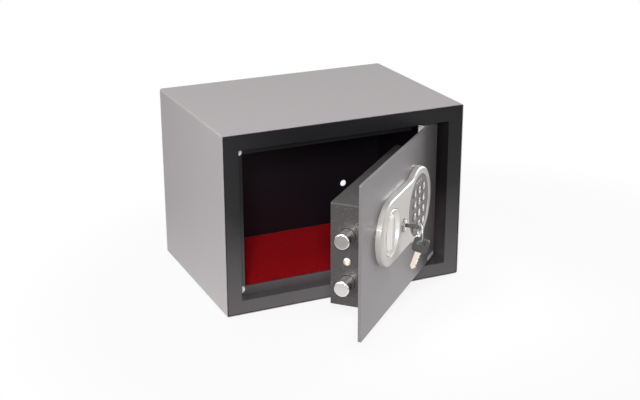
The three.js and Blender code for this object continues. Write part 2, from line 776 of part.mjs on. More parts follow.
const keypadButton = (name, { x, z }) => {
  const { halfWidth, halfHeight, lift } = key;
  const flangeFront = padBack + seat;
  const top = padFront - lift;
  const grown = (share) => ellipse(x, z, halfWidth - lift * share, halfHeight - lift * share);
  const stem = loft([
    [top, grown(0.7)],
    [top + lift * 0.3, grown(0.2)],
    [top + lift * 0.8, grown(0)],
    [flangeFront + keyFlange.thickness / 2, grown(0)],
  ]);
  const edge = ellipse(x, z, halfWidth + keyFlange.extra, halfHeight + keyFlange.extra);
  const flange = loft([[flangeFront, edge], [flangeFront + keyFlange.thickness, edge]]);
  return piece(name, join(stem, flange), 'keyGrey');
};

const boardFront = padBack + seat + keyFlange.thickness + keyTravel + seat;

const keypadBoard = () => {
  const disc = rod('y', pad.boardRadius, boardFront, boardFront + pad.boardThickness, pad.x, pad.z, medium);
  return piece('keypad_board', disc, 'circuit');
};

const lampLens = (name, { x, z }) => {
  const profile = [
    [0, padFront - lamp.radius * 0.4],
    [lamp.radius * 0.7, padFront - lamp.radius * 0.2],
    [lamp.radius, padFront + lamp.radius * 0.3],
    [lamp.radius, padBack + seat],
    [lamp.radius + lamp.flange, padBack + seat],
    [lamp.radius + lamp.flange, padBack + seat + lamp.flangeThickness],
    [0, padBack + seat + lamp.flangeThickness],
  ];
  return piece(name, turned('y', profile, x, z, coarse), 'lampClear');
};

// Emergency lock
const lockFront = coverFront - seat - lock.rim;
const lockBack = lockFront + lock.length;

const lockBarrel = () => {
  const profile = [
    [0, lockFront],
    [lock.rimRadius - lock.rim / 2, lockFront],
    [lock.rimRadius, lockFront + lock.rim / 2],
    [lock.rimRadius, coverFront - seat],
    [lock.bodyRadius, coverFront - seat],
    [lock.bodyRadius, lockBack],
    [0, lockBack],
  ];
  const bore = rod('y', lock.plugRadius + seat, lockFront - overrun, lockBack + overrun, lock.x, lock.z);
  return piece('lock_barrel', cut(turned('y', profile, lock.x, lock.z), bore), 'chrome');
};

const lockNutPiece = () => {
  const radius = lockNut.flats / 2 / Math.cos(Math.PI / 6);
  const from = plate.back + seat;
  const nut = rod('y', radius, from, from + lockNut.thickness, lock.x, lock.z, 6);
  const bore = rod('y', lock.bodyRadius + seat, from - overrun, from + lockNut.thickness + overrun, lock.x, lock.z);
  return piece('lock_nut', cut(nut, bore), 'zincSteel');
};

// The plug, cam and key are drawn round the lock's axis and turned with it
const plugFront = lockFront - lock.plugProud;
const camFront = lockBack + seat;
const camBack = camFront + lift.camThickness;

const keyway = (slack, from, to) =>
  block(
    [-keyBlade.width / 2 - slack, keyBlade.width / 2 + slack],
    [from, to],
    [-keyBlade.thickness / 2 - slack, keyBlade.thickness / 2 + slack],
  );

const lockPlug = () => {
  const profile = [
    [0, plugFront],
    [lock.plugRadius, plugFront],
    [lock.plugRadius, lockBack],
    [tail.radius, lockBack],
    [tail.radius, camBack + seat],
    [tail.headRadius, camBack + seat],
    [tail.headRadius, camBack + seat + tail.headThickness],
    [0, camBack + seat + tail.headThickness],
  ];
  const way = keyway(seat, plugFront - overrun, plugFront + keyBlade.inPlug + seat);
  return piece('lock_plug', cut(turned('y', profile, 0, 0), way), 'brass');
};

// Spiral cam: the locking pin's round foot rides on it, so its edge is the foot's path moved inward
const liftRate = lift.rise / rad(lift.locked);
const footGap = pin.radius + seat;

const liftCam = () => {
  const steps = 20;
  const turnBack = rad(keyTurn);
  const first = Math.PI / 2 - rad(lift.full);
  const sweep = rad(lift.full + lift.locked);
  const edge = Array.from({ length: steps + 1 }, (unused, i) => {
    const angle = first + (sweep * i) / steps;
    const reach = lift.height + liftRate * (Math.PI / 2 - angle);
    const size = Math.hypot(reach, liftRate);
    const out = (footGap * reach) / size;
    const along = (footGap * liftRate) / size;
    const x = (reach - out) * Math.cos(angle) + along * Math.sin(angle);
    const z = (reach - out) * Math.sin(angle) - along * Math.cos(angle);
    return new THREE.Vector2(x, z).rotateAround(new THREE.Vector2(), turnBack);
  });
  const spiral = new THREE.Shape([new THREE.Vector2(), ...edge]);
  const blank = join(
    prism(spiral, 'y', camFront, camBack),
    rod('y', lift.hubRadius, camFront, camBack, 0, 0),
  );
  const bore = rod('y', tail.radius + seat, camFront - overrun, camBack + overrun, 0, 0);
  return piece('lift_cam', cut(blank, bore), 'zincSteel');
};

// Key: drawn level, along -Y from the face of the lock; the bow is moulded round the blade's tang
const bowBase = plugFront - seat;

const bowSolid = () => {
  const outline = (inset) => {
    const { width, length, corner } = bow;
    const shape = rectangle(-width / 2 + inset, width / 2 - inset, inset, length - inset, corner - inset);
    return shape.getPoints(coarse / 2).slice(0, -1);
  };
  const half = bow.thickness / 2;
  const body = loft([
    [-half, outline(bow.round)],
    [-half + bow.round, outline(0)],
    [half - bow.round, outline(0)],
    [half, outline(bow.round)],
  ]);
  const holeTop = bow.length - bow.bridge;
  const eye = rectangle(
    -bow.holeWidth / 2,
    bow.holeWidth / 2,
    holeTop - bow.holeHeight,
    holeTop,
    bow.holeHeight * 0.42,
  );
  const tang = block(
    [-keyBlade.width / 2 - seat, keyBlade.width / 2 + seat],
    [-keyBlade.thickness / 2 - seat, keyBlade.thickness / 2 + seat],
    [-overrun, keyBlade.tang + seat],
  );
  return cut(body, prism(eye, 'y', -half - overrun, half + overrun, coarse), tang);
};

const bladeSolid = () => {
  const { width, thickness, inPlug, tang, cuts, cutPitch, cutRadius } = keyBlade;
  const tip = seat - inPlug;
  const outline = new THREE.Shape([
    new THREE.Vector2(-width / 2, tang),
    new THREE.Vector2(-width / 2, tip + width * 0.5),
    new THREE.Vector2(-width * 0.1, tip),
    new THREE.Vector2(width * 0.1, tip),
    new THREE.Vector2(width / 2, tip + width * 0.5),
    new THREE.Vector2(width / 2, tang),
  ]);
  const notches = Array.from({ length: cuts }, (unused, i) =>
    rod(
      'y',
      cutRadius * (i % 2 === 0 ? 1.3 : 0.9),
      -thickness - overrun,
      thickness + overrun,
      width / 2,
      tip + width * 0.5 + (i + 0.5) * cutPitch,
      coarse / 2,
    ),
  );
  return cut(prism(outline, 'y', -thickness / 2, thickness / 2), ...notches);
};

// Locking pin over the cam, with its nose in the carriage arm's way when it is down
const pinAxis = (camFront + camBack) / 2;
const footZ = lock.z + lift.height;
const noseZ = footZ + pin.noseRise - pin.radius;
const collarZ = noseZ + pin.noseRadius + pin.collar / 2;
const springFoot = collarZ + pin.collar + seat;
const coilBottom = springFoot + spring.length + seat;

const lockingPin = () => {
  const roundFoot = [0, 0.35, 0.7, 1].map((share) => [
    pin.radius * Math.sin((share * Math.PI) / 2),
    footZ - pin.radius * Math.cos((share * Math.PI) / 2),
  ]);
  const shaft = turned(
    'z',
    [
      ...roundFoot,
      [pin.radius, collarZ],
      [pin.collarRadius, collarZ],
      [pin.collarRadius, collarZ + pin.collar],
      [pin.radius, collarZ + pin.collar],
      [pin.radius, coilBottom + solenoid.pinEngaged],
      [0, coilBottom + solenoid.pinEngaged],
    ],
    lock.x,
    pinAxis,
    coarse,
  );
  const nose = rod('y', pin.noseRadius, pinAxis - pin.noseReach, pinAxis, lock.x, noseZ, coarse);
  return piece('locking_pin', join(shaft, nose), 'zincSteel');
};

const pinSpring = () => {
  const steps = spring.turns * 10;
  const rise = spring.length - 2 * spring.wire;
  const path = new THREE.CatmullRomCurve3(
    Array.from({ length: steps + 1 }, (unused, i) => {
      const angle = (2 * Math.PI * spring.turns * i) / steps;
      return new THREE.Vector3(
        lock.x + spring.radius * Math.cos(angle),
        pinAxis + spring.radius * Math.sin(angle),
        springFoot + spring.wire + (rise * i) / steps,
      );
    }),
  );
  const section = new THREE.Shape(ellipse(0, 0, spring.wire, spring.wire, 5));
  return piece(
    'pin_spring',
    solid(new THREE.ExtrudeGeometry(section, { steps, extrudePath: path, bevelEnabled: false })),
    'zincSteel',
  );
};

const solenoidPiece = () => {
  const { width, height, frame, coilRadius } = solenoid;
  const sides = [lock.x - width / 2, lock.x + width / 2];
  const rear = pinAxis + coilRadius;
  const top = coilBottom + height;
  const frameBack = [plate.back + seat, plate.back + seat + frame];
  const parts = [
    block(sides, frameBack, [coilBottom, top]),
    block(sides, [frameBack[0], rear], [coilBottom, coilBottom + frame]),
    block(sides, [frameBack[0], rear], [top - frame, top]),
    rod('z', coilRadius, coilBottom + frame / 2, top - frame / 2, lock.x, pinAxis),
  ];
  const bore = rod('z', pin.radius + running, coilBottom - overrun, top - frame, lock.x, pinAxis, coarse);
  return piece('solenoid', cut(join(...parts), bore), 'zincSteel');
};

// Electronics and cells
const circuitBoard = () => {
  const front = plate.back + board.standoff;
  const sheet = block([board.left, board.right], [front, front + board.thickness], [board.bottom, board.top]);
  const holes = [board.left + board.inset, board.right - board.inset].flatMap((x) =>
    [board.bottom + board.inset, board.top - board.inset].map((z) =>
      rod('y', board.postRadius + seat, front - overrun, front + board.thickness + overrun, x, z, coarse),
    ),
  );
  const chip = block(
    [pad.x, pad.x + key.pitchX],
    [front + board.thickness / 2, front + board.thickness * 2],
    [(board.bottom + board.top) / 2, (board.bottom + board.top) / 2 + key.pitchZ / 2],
  );
  return piece('circuit_board', join(cut(sheet, ...holes), chip), 'circuit');
};

const trayRim = boxBack - box.sheet - seat;
const trayFloor = trayRim - 2 * cell.radius - 2 * seat;
const cellAxis = trayRim - cell.radius - seat;

const batteryHolder = () => {
  const { left, right, bottom, top } = cellStack;
  const body = block(
    [left - tray.wall, right + tray.wall],
    [trayFloor - tray.floor, trayRim],
    [bottom - tray.wall, top + tray.wall],
  );
  const bay = block([left, right], [trayFloor, trayRim + overrun], [bottom, top]);
  const posts = [left + tray.play * 6, right - tray.play * 6].map((x) =>
    rod('y', tray.wall * 2, plate.back + seat, trayFloor - tray.floor / 2, x, (bottom + top) / 2, coarse),
  );
  return piece('battery_holder', join(cut(body, bay), ...posts), 'blackPlastic');
};

const cellPiece = (name, index) => {
  const flip = index % 2 === 0 ? 1 : -1;
  const half = cell.length / 2;
  const ends = [
    [0, -half],
    [cell.radius - seat, -half],
    [cell.radius, -half + seat],
    [cell.radius, half - cell.cap - seat],
    [cell.radius - seat, half - cell.cap],
    [cell.capRadius, half - cell.cap],
    [cell.capRadius, half],
    [0, half],
  ];
  const profile = flip > 0 ? ends : ends.map(([r, s]) => [r, -s]).reverse();
  const z = cell.bottom + (index + 0.5) * cell.pitch;
  const placed = profile.map(([r, s]) => [r, s + cell.x]);
  return piece(name, turned('x', placed, cellAxis, z, coarse), 'cellWrap');
};

const batteryCover = () => {
  const { thickness, lap, lip, lipWall, pull } = batteryLid;
  const from = boxBack + seat;
  const { left, right, bottom, top } = cellStack;
  const lid = prism(
    rectangle(left - lap, right + lap, bottom - lap, top + lap, lap),
    'y',
    from,
    from + thickness,
    coarse,
  );
  const outer = [left + seat, right - seat, bottom + seat, top - seat];
  const inner = [outer[0] + lipWall, outer[1] - lipWall, outer[2] + lipWall, outer[3] - lipWall];
  const skirtFront = boxBack - box.sheet + seat;
  const skirt = cut(
    prism(rectangle(...outer, lap / 2), 'y', skirtFront, from + thickness / 2, coarse),
    prism(rectangle(...inner, lip / 2), 'y', skirtFront - overrun, from, coarse),
  );
  const middle = (bottom + top) / 2;
  const grip = prism(
    rectangle(right - pull, right - pull / 2, middle - pull, middle + pull, pull / 5),
    'y',
    from + thickness / 2,
    from + thickness + lipWall / 2,
    coarse,
  );
  return piece('battery_cover', join(lid, skirt, grip), 'blackPlastic');
};

const wallInside = boxBack - box.sheet;
const collarBack = wallInside - seat;
const collarFront = collarBack - reset.collarThickness;

const resetSwitch = () => {
  const half = reset.body / 2;
  const front = wallInside - seat - reset.depth;
  const body = block([reset.x - half, reset.x + half], [front, collarBack], [reset.z - half, reset.z + half]);
  const room = rod(
    'y',
    reset.collar + running,
    collarFront - reset.travel - seat,
    collarBack + overrun,
    reset.x,
    reset.z,
    coarse,
  );
  const well = rod('y', reset.radius + running, front + overrun, collarBack, reset.x, reset.z, coarse);
  return piece('reset_switch', cut(body, room, well), 'blackPlastic');
};

const resetButton = () => {
  const profile = [
    [0, collarFront - reset.radius],
    [reset.radius, collarFront - reset.radius],
    [reset.radius, collarFront],
    [reset.collar, collarFront],
    [reset.collar, collarBack - seat],
    [reset.radius, collarBack - seat],
    [reset.radius, boxBack + reset.proud - seat],
    [reset.radius - seat, boxBack + reset.proud],
    [0, boxBack + reset.proud],
  ];
  return piece('reset_button', turned('y', profile, reset.x, reset.z, coarse), 'redPlastic');
};

// Split ring through the bow of the key, and the spare key that hangs on it
const bowEnd = bowBase - bow.length;
const bridgeY = bowEnd + bow.bridge / 2;
const ringTop = lock.z + bow.thickness / 2 / Math.cos(rad(keyTurn)) + ring.slack + ring.wire;
const ringX = lock.x + ring.aside;
const ringZ = ringTop - ring.radius;

const keyRing = () => {
  const hoop = new THREE.TorusGeometry(ring.radius, ring.wire, 6, medium);
  hoop.rotateY(Math.PI / 2).rotateZ(-rad(ring.turn)).translate(ringX, bridgeY, ringZ);
  return piece('key_ring', solid(hoop), 'zincSteel');
};

// Assembly
const cabinetGroup = new THREE.Group();
cabinetGroup.add(
  bodyWrap(),
  backPanel(),
  frontFrame(),
  floorMat(),
  stopPad('stop_pad_upper', mouth.top - stop.padDrop),
  stopPad('stop_pad_lower', mouth.bottom + stop.padDrop),
);

const door = new THREE.Group();
door.position.set(-pivot.x, -pivot.y, 0);
door.add(
  doorPlate(),
  hingeBar(),
  hingePin('hinge_pin_upper', barEnds[1] - hinge.pinDepth, mouth.top + rim.sheet + hinge.pinReach),
  hingePin('hinge_pin_lower', mouth.bottom - rim.sheet - hinge.pinReach, barEnds[0] + hinge.pinDepth),
  boltBox(),
  boxScrewPiece(),
  roundBolt('bolt_upper', bolt.upper),
  roundBolt('bolt_lower', bolt.lower),
  boltCarriage(),
  guideStud('guide_stud_left', guide.firstX),
  guideStud('guide_stud_right', guide.secondX),
  knobPiece(),
  knobSpindle(),
  knobCrank(),
  lockCover(),
  keypadPanel(),
  keypadBoard(),
  lockBarrel(),
  lockNutPiece(),
  lockingPin(),
  pinSpring(),
  solenoidPiece(),
  circuitBoard(),
  batteryHolder(),
  batteryCover(),
  resetSwitch(),
  resetButton(),
  keyRing(),
);
keyPlaces.forEach((place, i) => door.add(keypadButton(`keypad_button_${String(i + 1).padStart(2, '0')}`, place)));
lampPlaces.forEach((place, i) => door.add(lampLens(`lamp_${i + 1}`, place)));
Array.from({ length: cell.count }, (unused, i) => door.add(cellPiece(`cell_${i + 1}`, i)));

// The key stands in the plug, level when drawn, and both are turned together
const plugGroup = new THREE.Group();
plugGroup.position.set(lock.x, 0, lock.z);
plugGroup.rotation.y = rad(keyTurn);
const keyInLock = new THREE.Group();
keyInLock.position.set(0, bowBase, 0);
keyInLock.rotation.x = Math.PI / 2;
keyInLock.add(piece('key_bow', bowSolid(), 'blackPlastic'), piece('key_blade', bladeSolid(), 'brass'));
plugGroup.add(lockPlug(), liftCam(), keyInLock);
door.add(plugGroup);

// The spare key hangs by its eye from the lowest point of the ring
const spareKey = new THREE.Group();
const spareDrop = new THREE.Group();
spareKey.position.set(ringX, bridgeY, ringZ - ring.radius);
spareKey.rotation.z = -rad(spare.facing);
spareDrop.rotation.y = rad(spare.lean);
const hangingKey = new THREE.Group();
hangingKey.position.set(spare.aside, 0, ring.wire + ring.hang - (bow.length - bow.bridge));
hangingKey.add(piece('spare_bow', bowSolid(), 'blackPlastic'), piece('spare_blade', bladeSolid(), 'brass'));
spareDrop.add(hangingKey);
spareKey.add(spareDrop);
door.add(spareKey);

const doorOnPins = new THREE.Group();
doorOnPins.position.set(pivot.x, pivot.y, 0);
doorOnPins.rotation.z = rad(hinge.openAngle);
doorOnPins.add(door);

const safe = new THREE.Group();
safe.add(cabinetGroup, doorOnPins);
safe.updateMatrixWorld(true);

export default safe;
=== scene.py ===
import json
import math
import random

import bmesh
import bpy
from mathutils import Matrix, Vector


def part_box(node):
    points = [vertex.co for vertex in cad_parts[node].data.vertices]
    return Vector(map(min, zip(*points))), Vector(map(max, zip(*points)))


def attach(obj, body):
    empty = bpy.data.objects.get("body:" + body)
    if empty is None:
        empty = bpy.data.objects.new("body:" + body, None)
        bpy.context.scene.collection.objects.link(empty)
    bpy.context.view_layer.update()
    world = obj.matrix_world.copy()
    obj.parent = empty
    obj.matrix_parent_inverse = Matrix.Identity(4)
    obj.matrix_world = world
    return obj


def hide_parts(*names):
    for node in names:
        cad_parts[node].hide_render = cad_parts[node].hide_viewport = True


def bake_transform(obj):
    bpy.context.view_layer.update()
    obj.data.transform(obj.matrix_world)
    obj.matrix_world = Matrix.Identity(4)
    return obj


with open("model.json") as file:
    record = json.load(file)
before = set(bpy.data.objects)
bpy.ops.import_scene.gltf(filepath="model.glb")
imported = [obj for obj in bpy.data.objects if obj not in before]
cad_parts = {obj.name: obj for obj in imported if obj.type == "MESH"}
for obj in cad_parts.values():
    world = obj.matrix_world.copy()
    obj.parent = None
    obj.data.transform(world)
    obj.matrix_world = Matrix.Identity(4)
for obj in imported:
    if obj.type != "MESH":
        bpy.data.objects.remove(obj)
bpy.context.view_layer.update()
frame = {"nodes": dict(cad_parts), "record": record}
nodes = frame["nodes"]
random.seed(7)

MM = 0.001

# Vertices nearer to each other than this are merged
WELD = 0.002 * MM

# Stands for nought in the steps of an inset, in millimetres
HAIR = 0.0001

# Places on the door are given for the shut door, in millimetres, and turned open at the end
PIVOT = Vector((132, -102, 0)) * MM
OPEN_ANGLE = math.radians(43.2)
OPEN_DOOR = (
    Matrix.Translation(PIVOT) @ Matrix.Rotation(OPEN_ANGLE, 4, "Z") @ Matrix.Translation(-PIVOT)
)

PLATE_FRONT = -112
COVER_BACK = -112.3
COVER_FRONT = -120

# Middles of the knob, the keypad and the key lock: how far across and how high
KNOB = (-60, 134.4)
KEYPAD = (48, 134)
LOCK = (-13, 128)

BOLT_AXIS = -88
BOLT_HEIGHTS = {"bolt_upper": 153, "bolt_lower": 91.5}
SCREW_HEIGHT = 120


# Working by operators

def alone(piece=None):
    """Leaves edit mode and selects one piece, or nothing."""
    if bpy.context.mode != "OBJECT":
        bpy.ops.object.mode_set(mode="OBJECT")
    bpy.ops.object.select_all(action="DESELECT")
    if piece is not None:
        piece.select_set(True)
        bpy.context.view_layer.objects.active = piece


def enter(piece, kind):
    """Opens one piece in edit mode, to select its vertices, edges or faces."""
    alone(piece)
    bpy.ops.object.mode_set(mode="EDIT")
    bpy.ops.mesh.select_mode(type=kind)


def pick(piece, kind, test):
    """In edit mode, selects the vertices, edges or faces that pass a test."""
    bpy.ops.mesh.select_mode(type=kind)
    bpy.ops.mesh.select_all(action="DESELECT")
    mesh = bmesh.from_edit_mesh(piece.data)
    family = {"VERT": mesh.verts, "EDGE": mesh.edges, "FACE": mesh.faces}[kind]
    for item in family:
        if test(item):
            item.select_set(True)
    mesh.select_flush_mode()
    bmesh.update_edit_mesh(piece.data)


def middle(edge):
    return (edge.verts[0].co + edge.verts[1].co) / 2


def extrude(x, y, z):
    """Extrudes what is selected by a step in millimetres."""
    step = (x * MM, y * MM, z * MM)
    bpy.ops.mesh.extrude_region_move(TRANSFORM_OT_translate={"value": step})


def flatten(share, x, z):
    """Lowers what is selected to a share of its height, about a point."""
    bpy.ops.transform.resize(value=(1, 1, share), center_override=(x * MM, 0, z * MM))


def apply_modifiers(piece):
    alone(piece)
    for modifier in list(piece.modifiers):
        bpy.ops.object.modifier_apply(modifier=modifier.name)


def smooth(piece, degrees):
    """Shades round faces smooth, and keeps the large flat ones flat."""
    alone(piece)
    bpy.ops.object.shade_smooth_by_angle(angle=math.radians(degrees))
    flats = piece.modifiers.new("flats", "WEIGHTED_NORMAL")
    flats.weight = 90
    flats.keep_sharp = True
    apply_modifiers(piece)


def soften(piece, width, segments, degrees=30):
    """Rounds every edge that is sharper than an angle; the width is in millimetres."""
    bevel = piece.modifiers.new("round", "BEVEL")
    bevel.width = width * MM
    bevel.segments = segments
    bevel.limit_method = "ANGLE"
    bevel.angle_limit = math.radians(degrees)
    bevel.harden_normals = False
    bevel.use_clamp_overlap = True
    apply_modifiers(piece)


def carve(piece, *tools):
    """Cuts each tool out of a piece and removes the tool."""
    for tool in tools:
        cut = piece.modifiers.new("cut", "BOOLEAN")
        cut.operation = "DIFFERENCE"
        cut.solver = "EXACT"
        cut.object = tool
        apply_modifiers(piece)
        bpy.data.objects.remove(tool)


def mend(piece):
    """Closes seams and poles and points every face outwards."""
    enter(piece, "VERT")
    bpy.ops.mesh.select_all(action="SELECT")
    bpy.ops.mesh.remove_doubles(threshold=WELD)
    bpy.ops.mesh.normals_make_consistent(inside=False)
    alone(piece)


def move(piece, matrix):
    """Puts a finished piece in its place and leaves its object at the origin."""
    alone(piece)
    piece.matrix_world = matrix @ piece.matrix_world
    bpy.ops.object.transform_apply(location=True, rotation=True, scale=True)


def copy_of(piece, name):
    """A copy with its own mesh."""
    twin = piece.copy()
    twin.data = piece.data.copy()
    twin.name = name
    bpy.context.scene.collection.objects.link(twin)
    return twin


def join(whole, part):
    """Makes a part's mesh one with another piece's."""
    alone(whole)
    part.select_set(True)
    bpy.ops.object.join()


# Drawing outlines and turning profiles

def point_at(name, x, y, z):
    """A new mesh in edit mode that holds one selected vertex."""
    alone()
    bpy.ops.mesh.primitive_plane_add(size=MM, location=(0, 0, 0))
    piece = bpy.context.object
    piece.name = name
    enter(piece, "VERT")
    bpy.ops.mesh.select_all(action="SELECT")
    bpy.ops.mesh.merge(type="CENTER")
    bpy.ops.transform.translate(value=(x * MM, y * MM, z * MM))
    return piece


def outline(name, start, y, strokes):
    """Draws a closed outline in a plane across Y, seen from the front, and fills it.

    A stroke is ("line", x, z) by a step, or ("arc", x, z, degrees, steps) round a centre."""
    piece = point_at(name, start[0], y, start[1])
    for kind, x, z, *sweep in strokes:
        if kind == "line":
            extrude(x, 0, z)
        else:
            degrees, steps = sweep
            bpy.ops.mesh.spin(
                steps=steps,
                angle=math.radians(degrees),
                center=(x * MM, y * MM, z * MM),
                axis=(0, 1, 0),
            )
    # The last stroke ends on the start, but for what its arcs are rounded by
    closing_gap = 0.08 * MM
    bpy.ops.mesh.select_all(action="SELECT")
    bpy.ops.mesh.remove_doubles(threshold=closing_gap)
    bpy.ops.mesh.edge_face_add()
    face_front(piece)
    return piece


def rounded_rectangle(name, left, right, low, high, corner, y, steps):
    """The outline of a rectangle with round corners, each drawn in a number of steps."""
    wide = right - left - 2 * corner
    tall = high - low - 2 * corner
    return outline(
        name,
        (right, low + corner),
        y,
        [
            ("line", 0, tall),
            ("arc", right - corner, high - corner, 90, steps),
            ("line", -wide, 0),
            ("arc", left + corner, high - corner, 90, steps),
            ("line", 0, -tall),
            ("arc", left + corner, low + corner, 90, steps),
            ("line", wide, 0),
            ("arc", right - corner, low + corner, 90, steps),
        ],
    )


def face_front(piece):
    """Turns the one face of a new outline towards the front."""
    mesh = bmesh.from_edit_mesh(piece.data)
    mesh.normal_update()
    turned_back = any(face.normal.y > 0 for face in mesh.faces)
    bpy.ops.mesh.select_mode(type="FACE")
    bpy.ops.mesh.select_all(action="SELECT")
    if turned_back:
        bpy.ops.mesh.flip_normals()


def raise_face(steps):
    """Insets the selected face again and again, by steps inward and forward in millimetres."""
    for inward, forward in steps:
        bpy.ops.mesh.inset(thickness=inward * MM, depth=forward * MM, use_even_offset=True)


def close_back(piece, y):
    """Fills the open outline that a raised face left at its first plane."""
    near = 0.01 * MM
    pick(piece, "EDGE", lambda edge: edge.is_boundary and abs(middle(edge).y - y * MM) < near)
    bpy.ops.mesh.edge_face_add()


def turned(name, axis, centre, profile, steps):
    """Spins a profile of (radius, station) pairs about a line along X or Y."""
    x, y, z = centre
    radius, station = profile[0]
    if axis == "Y":
        line = (0, 1, 0)
        piece = point_at(name, x + radius, station, z)
    else:
        line = (1, 0, 0)
        piece = point_at(name, station, y + radius, z)
    for (radius, station), (next_radius, next_station) in zip(profile, profile[1:]):
        out = next_radius - radius
        along = next_station - station
        if axis == "Y":
            extrude(out, along, 0)
        else:
            extrude(along, out, 0)
    bpy.ops.mesh.select_all(action="SELECT")
    bpy.ops.mesh.spin(
        steps=steps,
        angle=2 * math.pi,
        center=(x * MM, y * MM, z * MM),
        axis=line,
    )
    mend(piece)
    return piece


def rod(radius, start, end, x, z, sides):
    """A plain cylinder from front to back, used to cut holes."""
    alone()
    bpy.ops.mesh.primitive_cylinder_add(
        vertices=sides,
        radius=radius * MM,
        depth=(end - start) * MM,
        location=Vector((x, (start + end) / 2, z)) * MM,
        rotation=Vector((0, 1, 0)).to_track_quat("Z", "Y").to_euler(),
    )
    return bpy.context.object


def slab(name, low, high):
    """A cube stretched between two corners."""
    low, high = Vector(low) * MM, Vector(high) * MM
    alone()
    bpy.ops.mesh.primitive_cube_add(size=1, location=(low + high) / 2)
    piece = bpy.context.object
    piece.name = name
    piece.scale = high - low
    bpy.ops.object.transform_apply(location=False, rotation=False, scale=True)
    return piece


def wire_along(name, points, radius):
    """A tube of wire through a list of points, in metres."""
    alone()
    bpy.ops.curve.primitive_nurbs_path_add()
    wire = bpy.context.object
    wire.name = name
    wire.data.splines.clear()
    spline = wire.data.splines.new("POLY")
    spline.points.add(len(points) - 1)
    for knot, point in zip(spline.points, points):
        knot.co = (*point, 1)
    wire.data.bevel_depth = radius * MM
    wire.data.bevel_resolution = 3
    wire.data.use_fill_caps = True
    alone(wire)
    bpy.ops.object.convert(target="MESH")
    return bpy.context.object


# Materials

class Term:
    """A socket that Python expressions can combine into Math nodes."""

    def __init__(self, finish, socket):
        self.finish = finish
        self.socket = socket

    def __add__(self, other):
        return self.finish.maths("ADD", self, other)

    def __sub__(self, other):
        return self.finish.maths("SUBTRACT", self, other)

    def __rsub__(self, other):
        return self.finish.maths("SUBTRACT", other, self)

    def __mul__(self, other):
        return self.finish.maths("MULTIPLY", self, other)

    def __pow__(self, other):
        return self.finish.maths("POWER", self, other)

    def __abs__(self):
        return self.finish.maths("ABSOLUTE", self)

    def __lt__(self, other):
        return self.finish.maths("LESS_THAN", self, other)

    def __gt__(self, other):
        return self.finish.maths("GREATER_THAN", self, other)

    __radd__ = __add__
    __rmul__ = __mul__


def socket_name(words):
    """The label of a shader's socket, from its words in small letters."""
    return words.replace("_", " ").title().replace("Ior", "IOR")


class Finish:
    """A material: its shader's constants, and the nodes that vary over the surface."""

    def __init__(self, name, **constants):
        self.material = bpy.data.materials.new(name)
        self.material.use_nodes = True
        self.tree = self.material.node_tree
        self.shader = self.tree.nodes["Principled BSDF"]
        for words, value in constants.items():
            self.shader.inputs[socket_name(words)].default_value = value

    def node(self, kind, settings=None, inputs=None, output=0):
        """Adds a node, sets its settings, then fills its inputs with values or links."""
        made = self.tree.nodes.new("ShaderNode" + kind)
        for setting, value in (settings or {}).items():
            setattr(made, setting, value)
        for key, value in (inputs or {}).items():
            self.fill(made.inputs[key], value)
        return Term(self, made.outputs[output])

    def fill(self, socket, value):
        if isinstance(value, Term):
            self.tree.links.new(value.socket, socket)
        elif isinstance(value, tuple) and len(value) == 3 and socket.type == "RGBA":
            socket.default_value = (*value, 1)
        else:
            socket.default_value = value

    def maths(self, operation, *terms):
        return self.node("Math", {"operation": operation}, dict(enumerate(terms)))

    def place(self, stretch=(1, 1, 1), turn=0.0, centre=(0, 0, 0)):
        """Object coordinates, moved to a centre, turned about Z, then stretched."""
        coordinates = self.node("TexCoord", output="Object")
        held = self.node(
            "Mapping",
            {"vector_type": "TEXTURE"},
            {"Vector": coordinates, "Location": centre, "Rotation": (0, 0, turn)},
        )
        return self.node("Mapping", {}, {"Vector": held, "Scale": stretch})

    def axes(self, centre=(0, 0, 0)):
        """How far a point is from a centre along X, Y and Z, in metres."""
        held = self.place(centre=centre)
        return [self.node("SeparateXYZ", {}, {"Vector": held}, axis) for axis in "XYZ"]

    def distance(self, x, y):
        """How far a point is from an upright line, in metres."""
        across, along, _ = self.axes((x, y, 0))
        return (across * across + along * along) ** 0.5

    def noise(self, scale, detail, rough, at=None):
        """Cloudy noise; the scale is in patches to the metre."""
        inputs = {"Scale": scale, "Detail": detail, "Roughness": rough}
        return self.node("TexNoise", {}, {"Vector": at or self.place(), **inputs})

    def ramp(self, value, low, high):
        """Nought at low, one at high, and straight between; low may be the larger."""
        limits = {"From Min": low, "From Max": high}
        return self.node("MapRange", {"clamp": True}, {"Value": value, **limits})

    def mix(self, share, first, second):
        """A share of the second colour over the first; a colour's sockets come after a number's."""
        return self.node("Mix", {"data_type": "RGBA"}, {0: share, 6: first, 7: second}, 2)

    def paint(self, **sockets):
        """Links what varies to the shader."""
        for words, value in sockets.items():
            self.fill(self.shader.inputs[socket_name(words)], value)
        return self

    def relief(self, height, depth):
        """Raises the surface by a height between nought and one, times a depth in millimetres."""
        inputs = {"Strength": 1.0, "Distance": depth * MM, "Height": height}
        self.fill(self.shader.inputs["Normal"], self.node("Bump", {}, inputs))
        return self


def shade(colour, factor):
    return tuple(channel * factor for channel in colour)


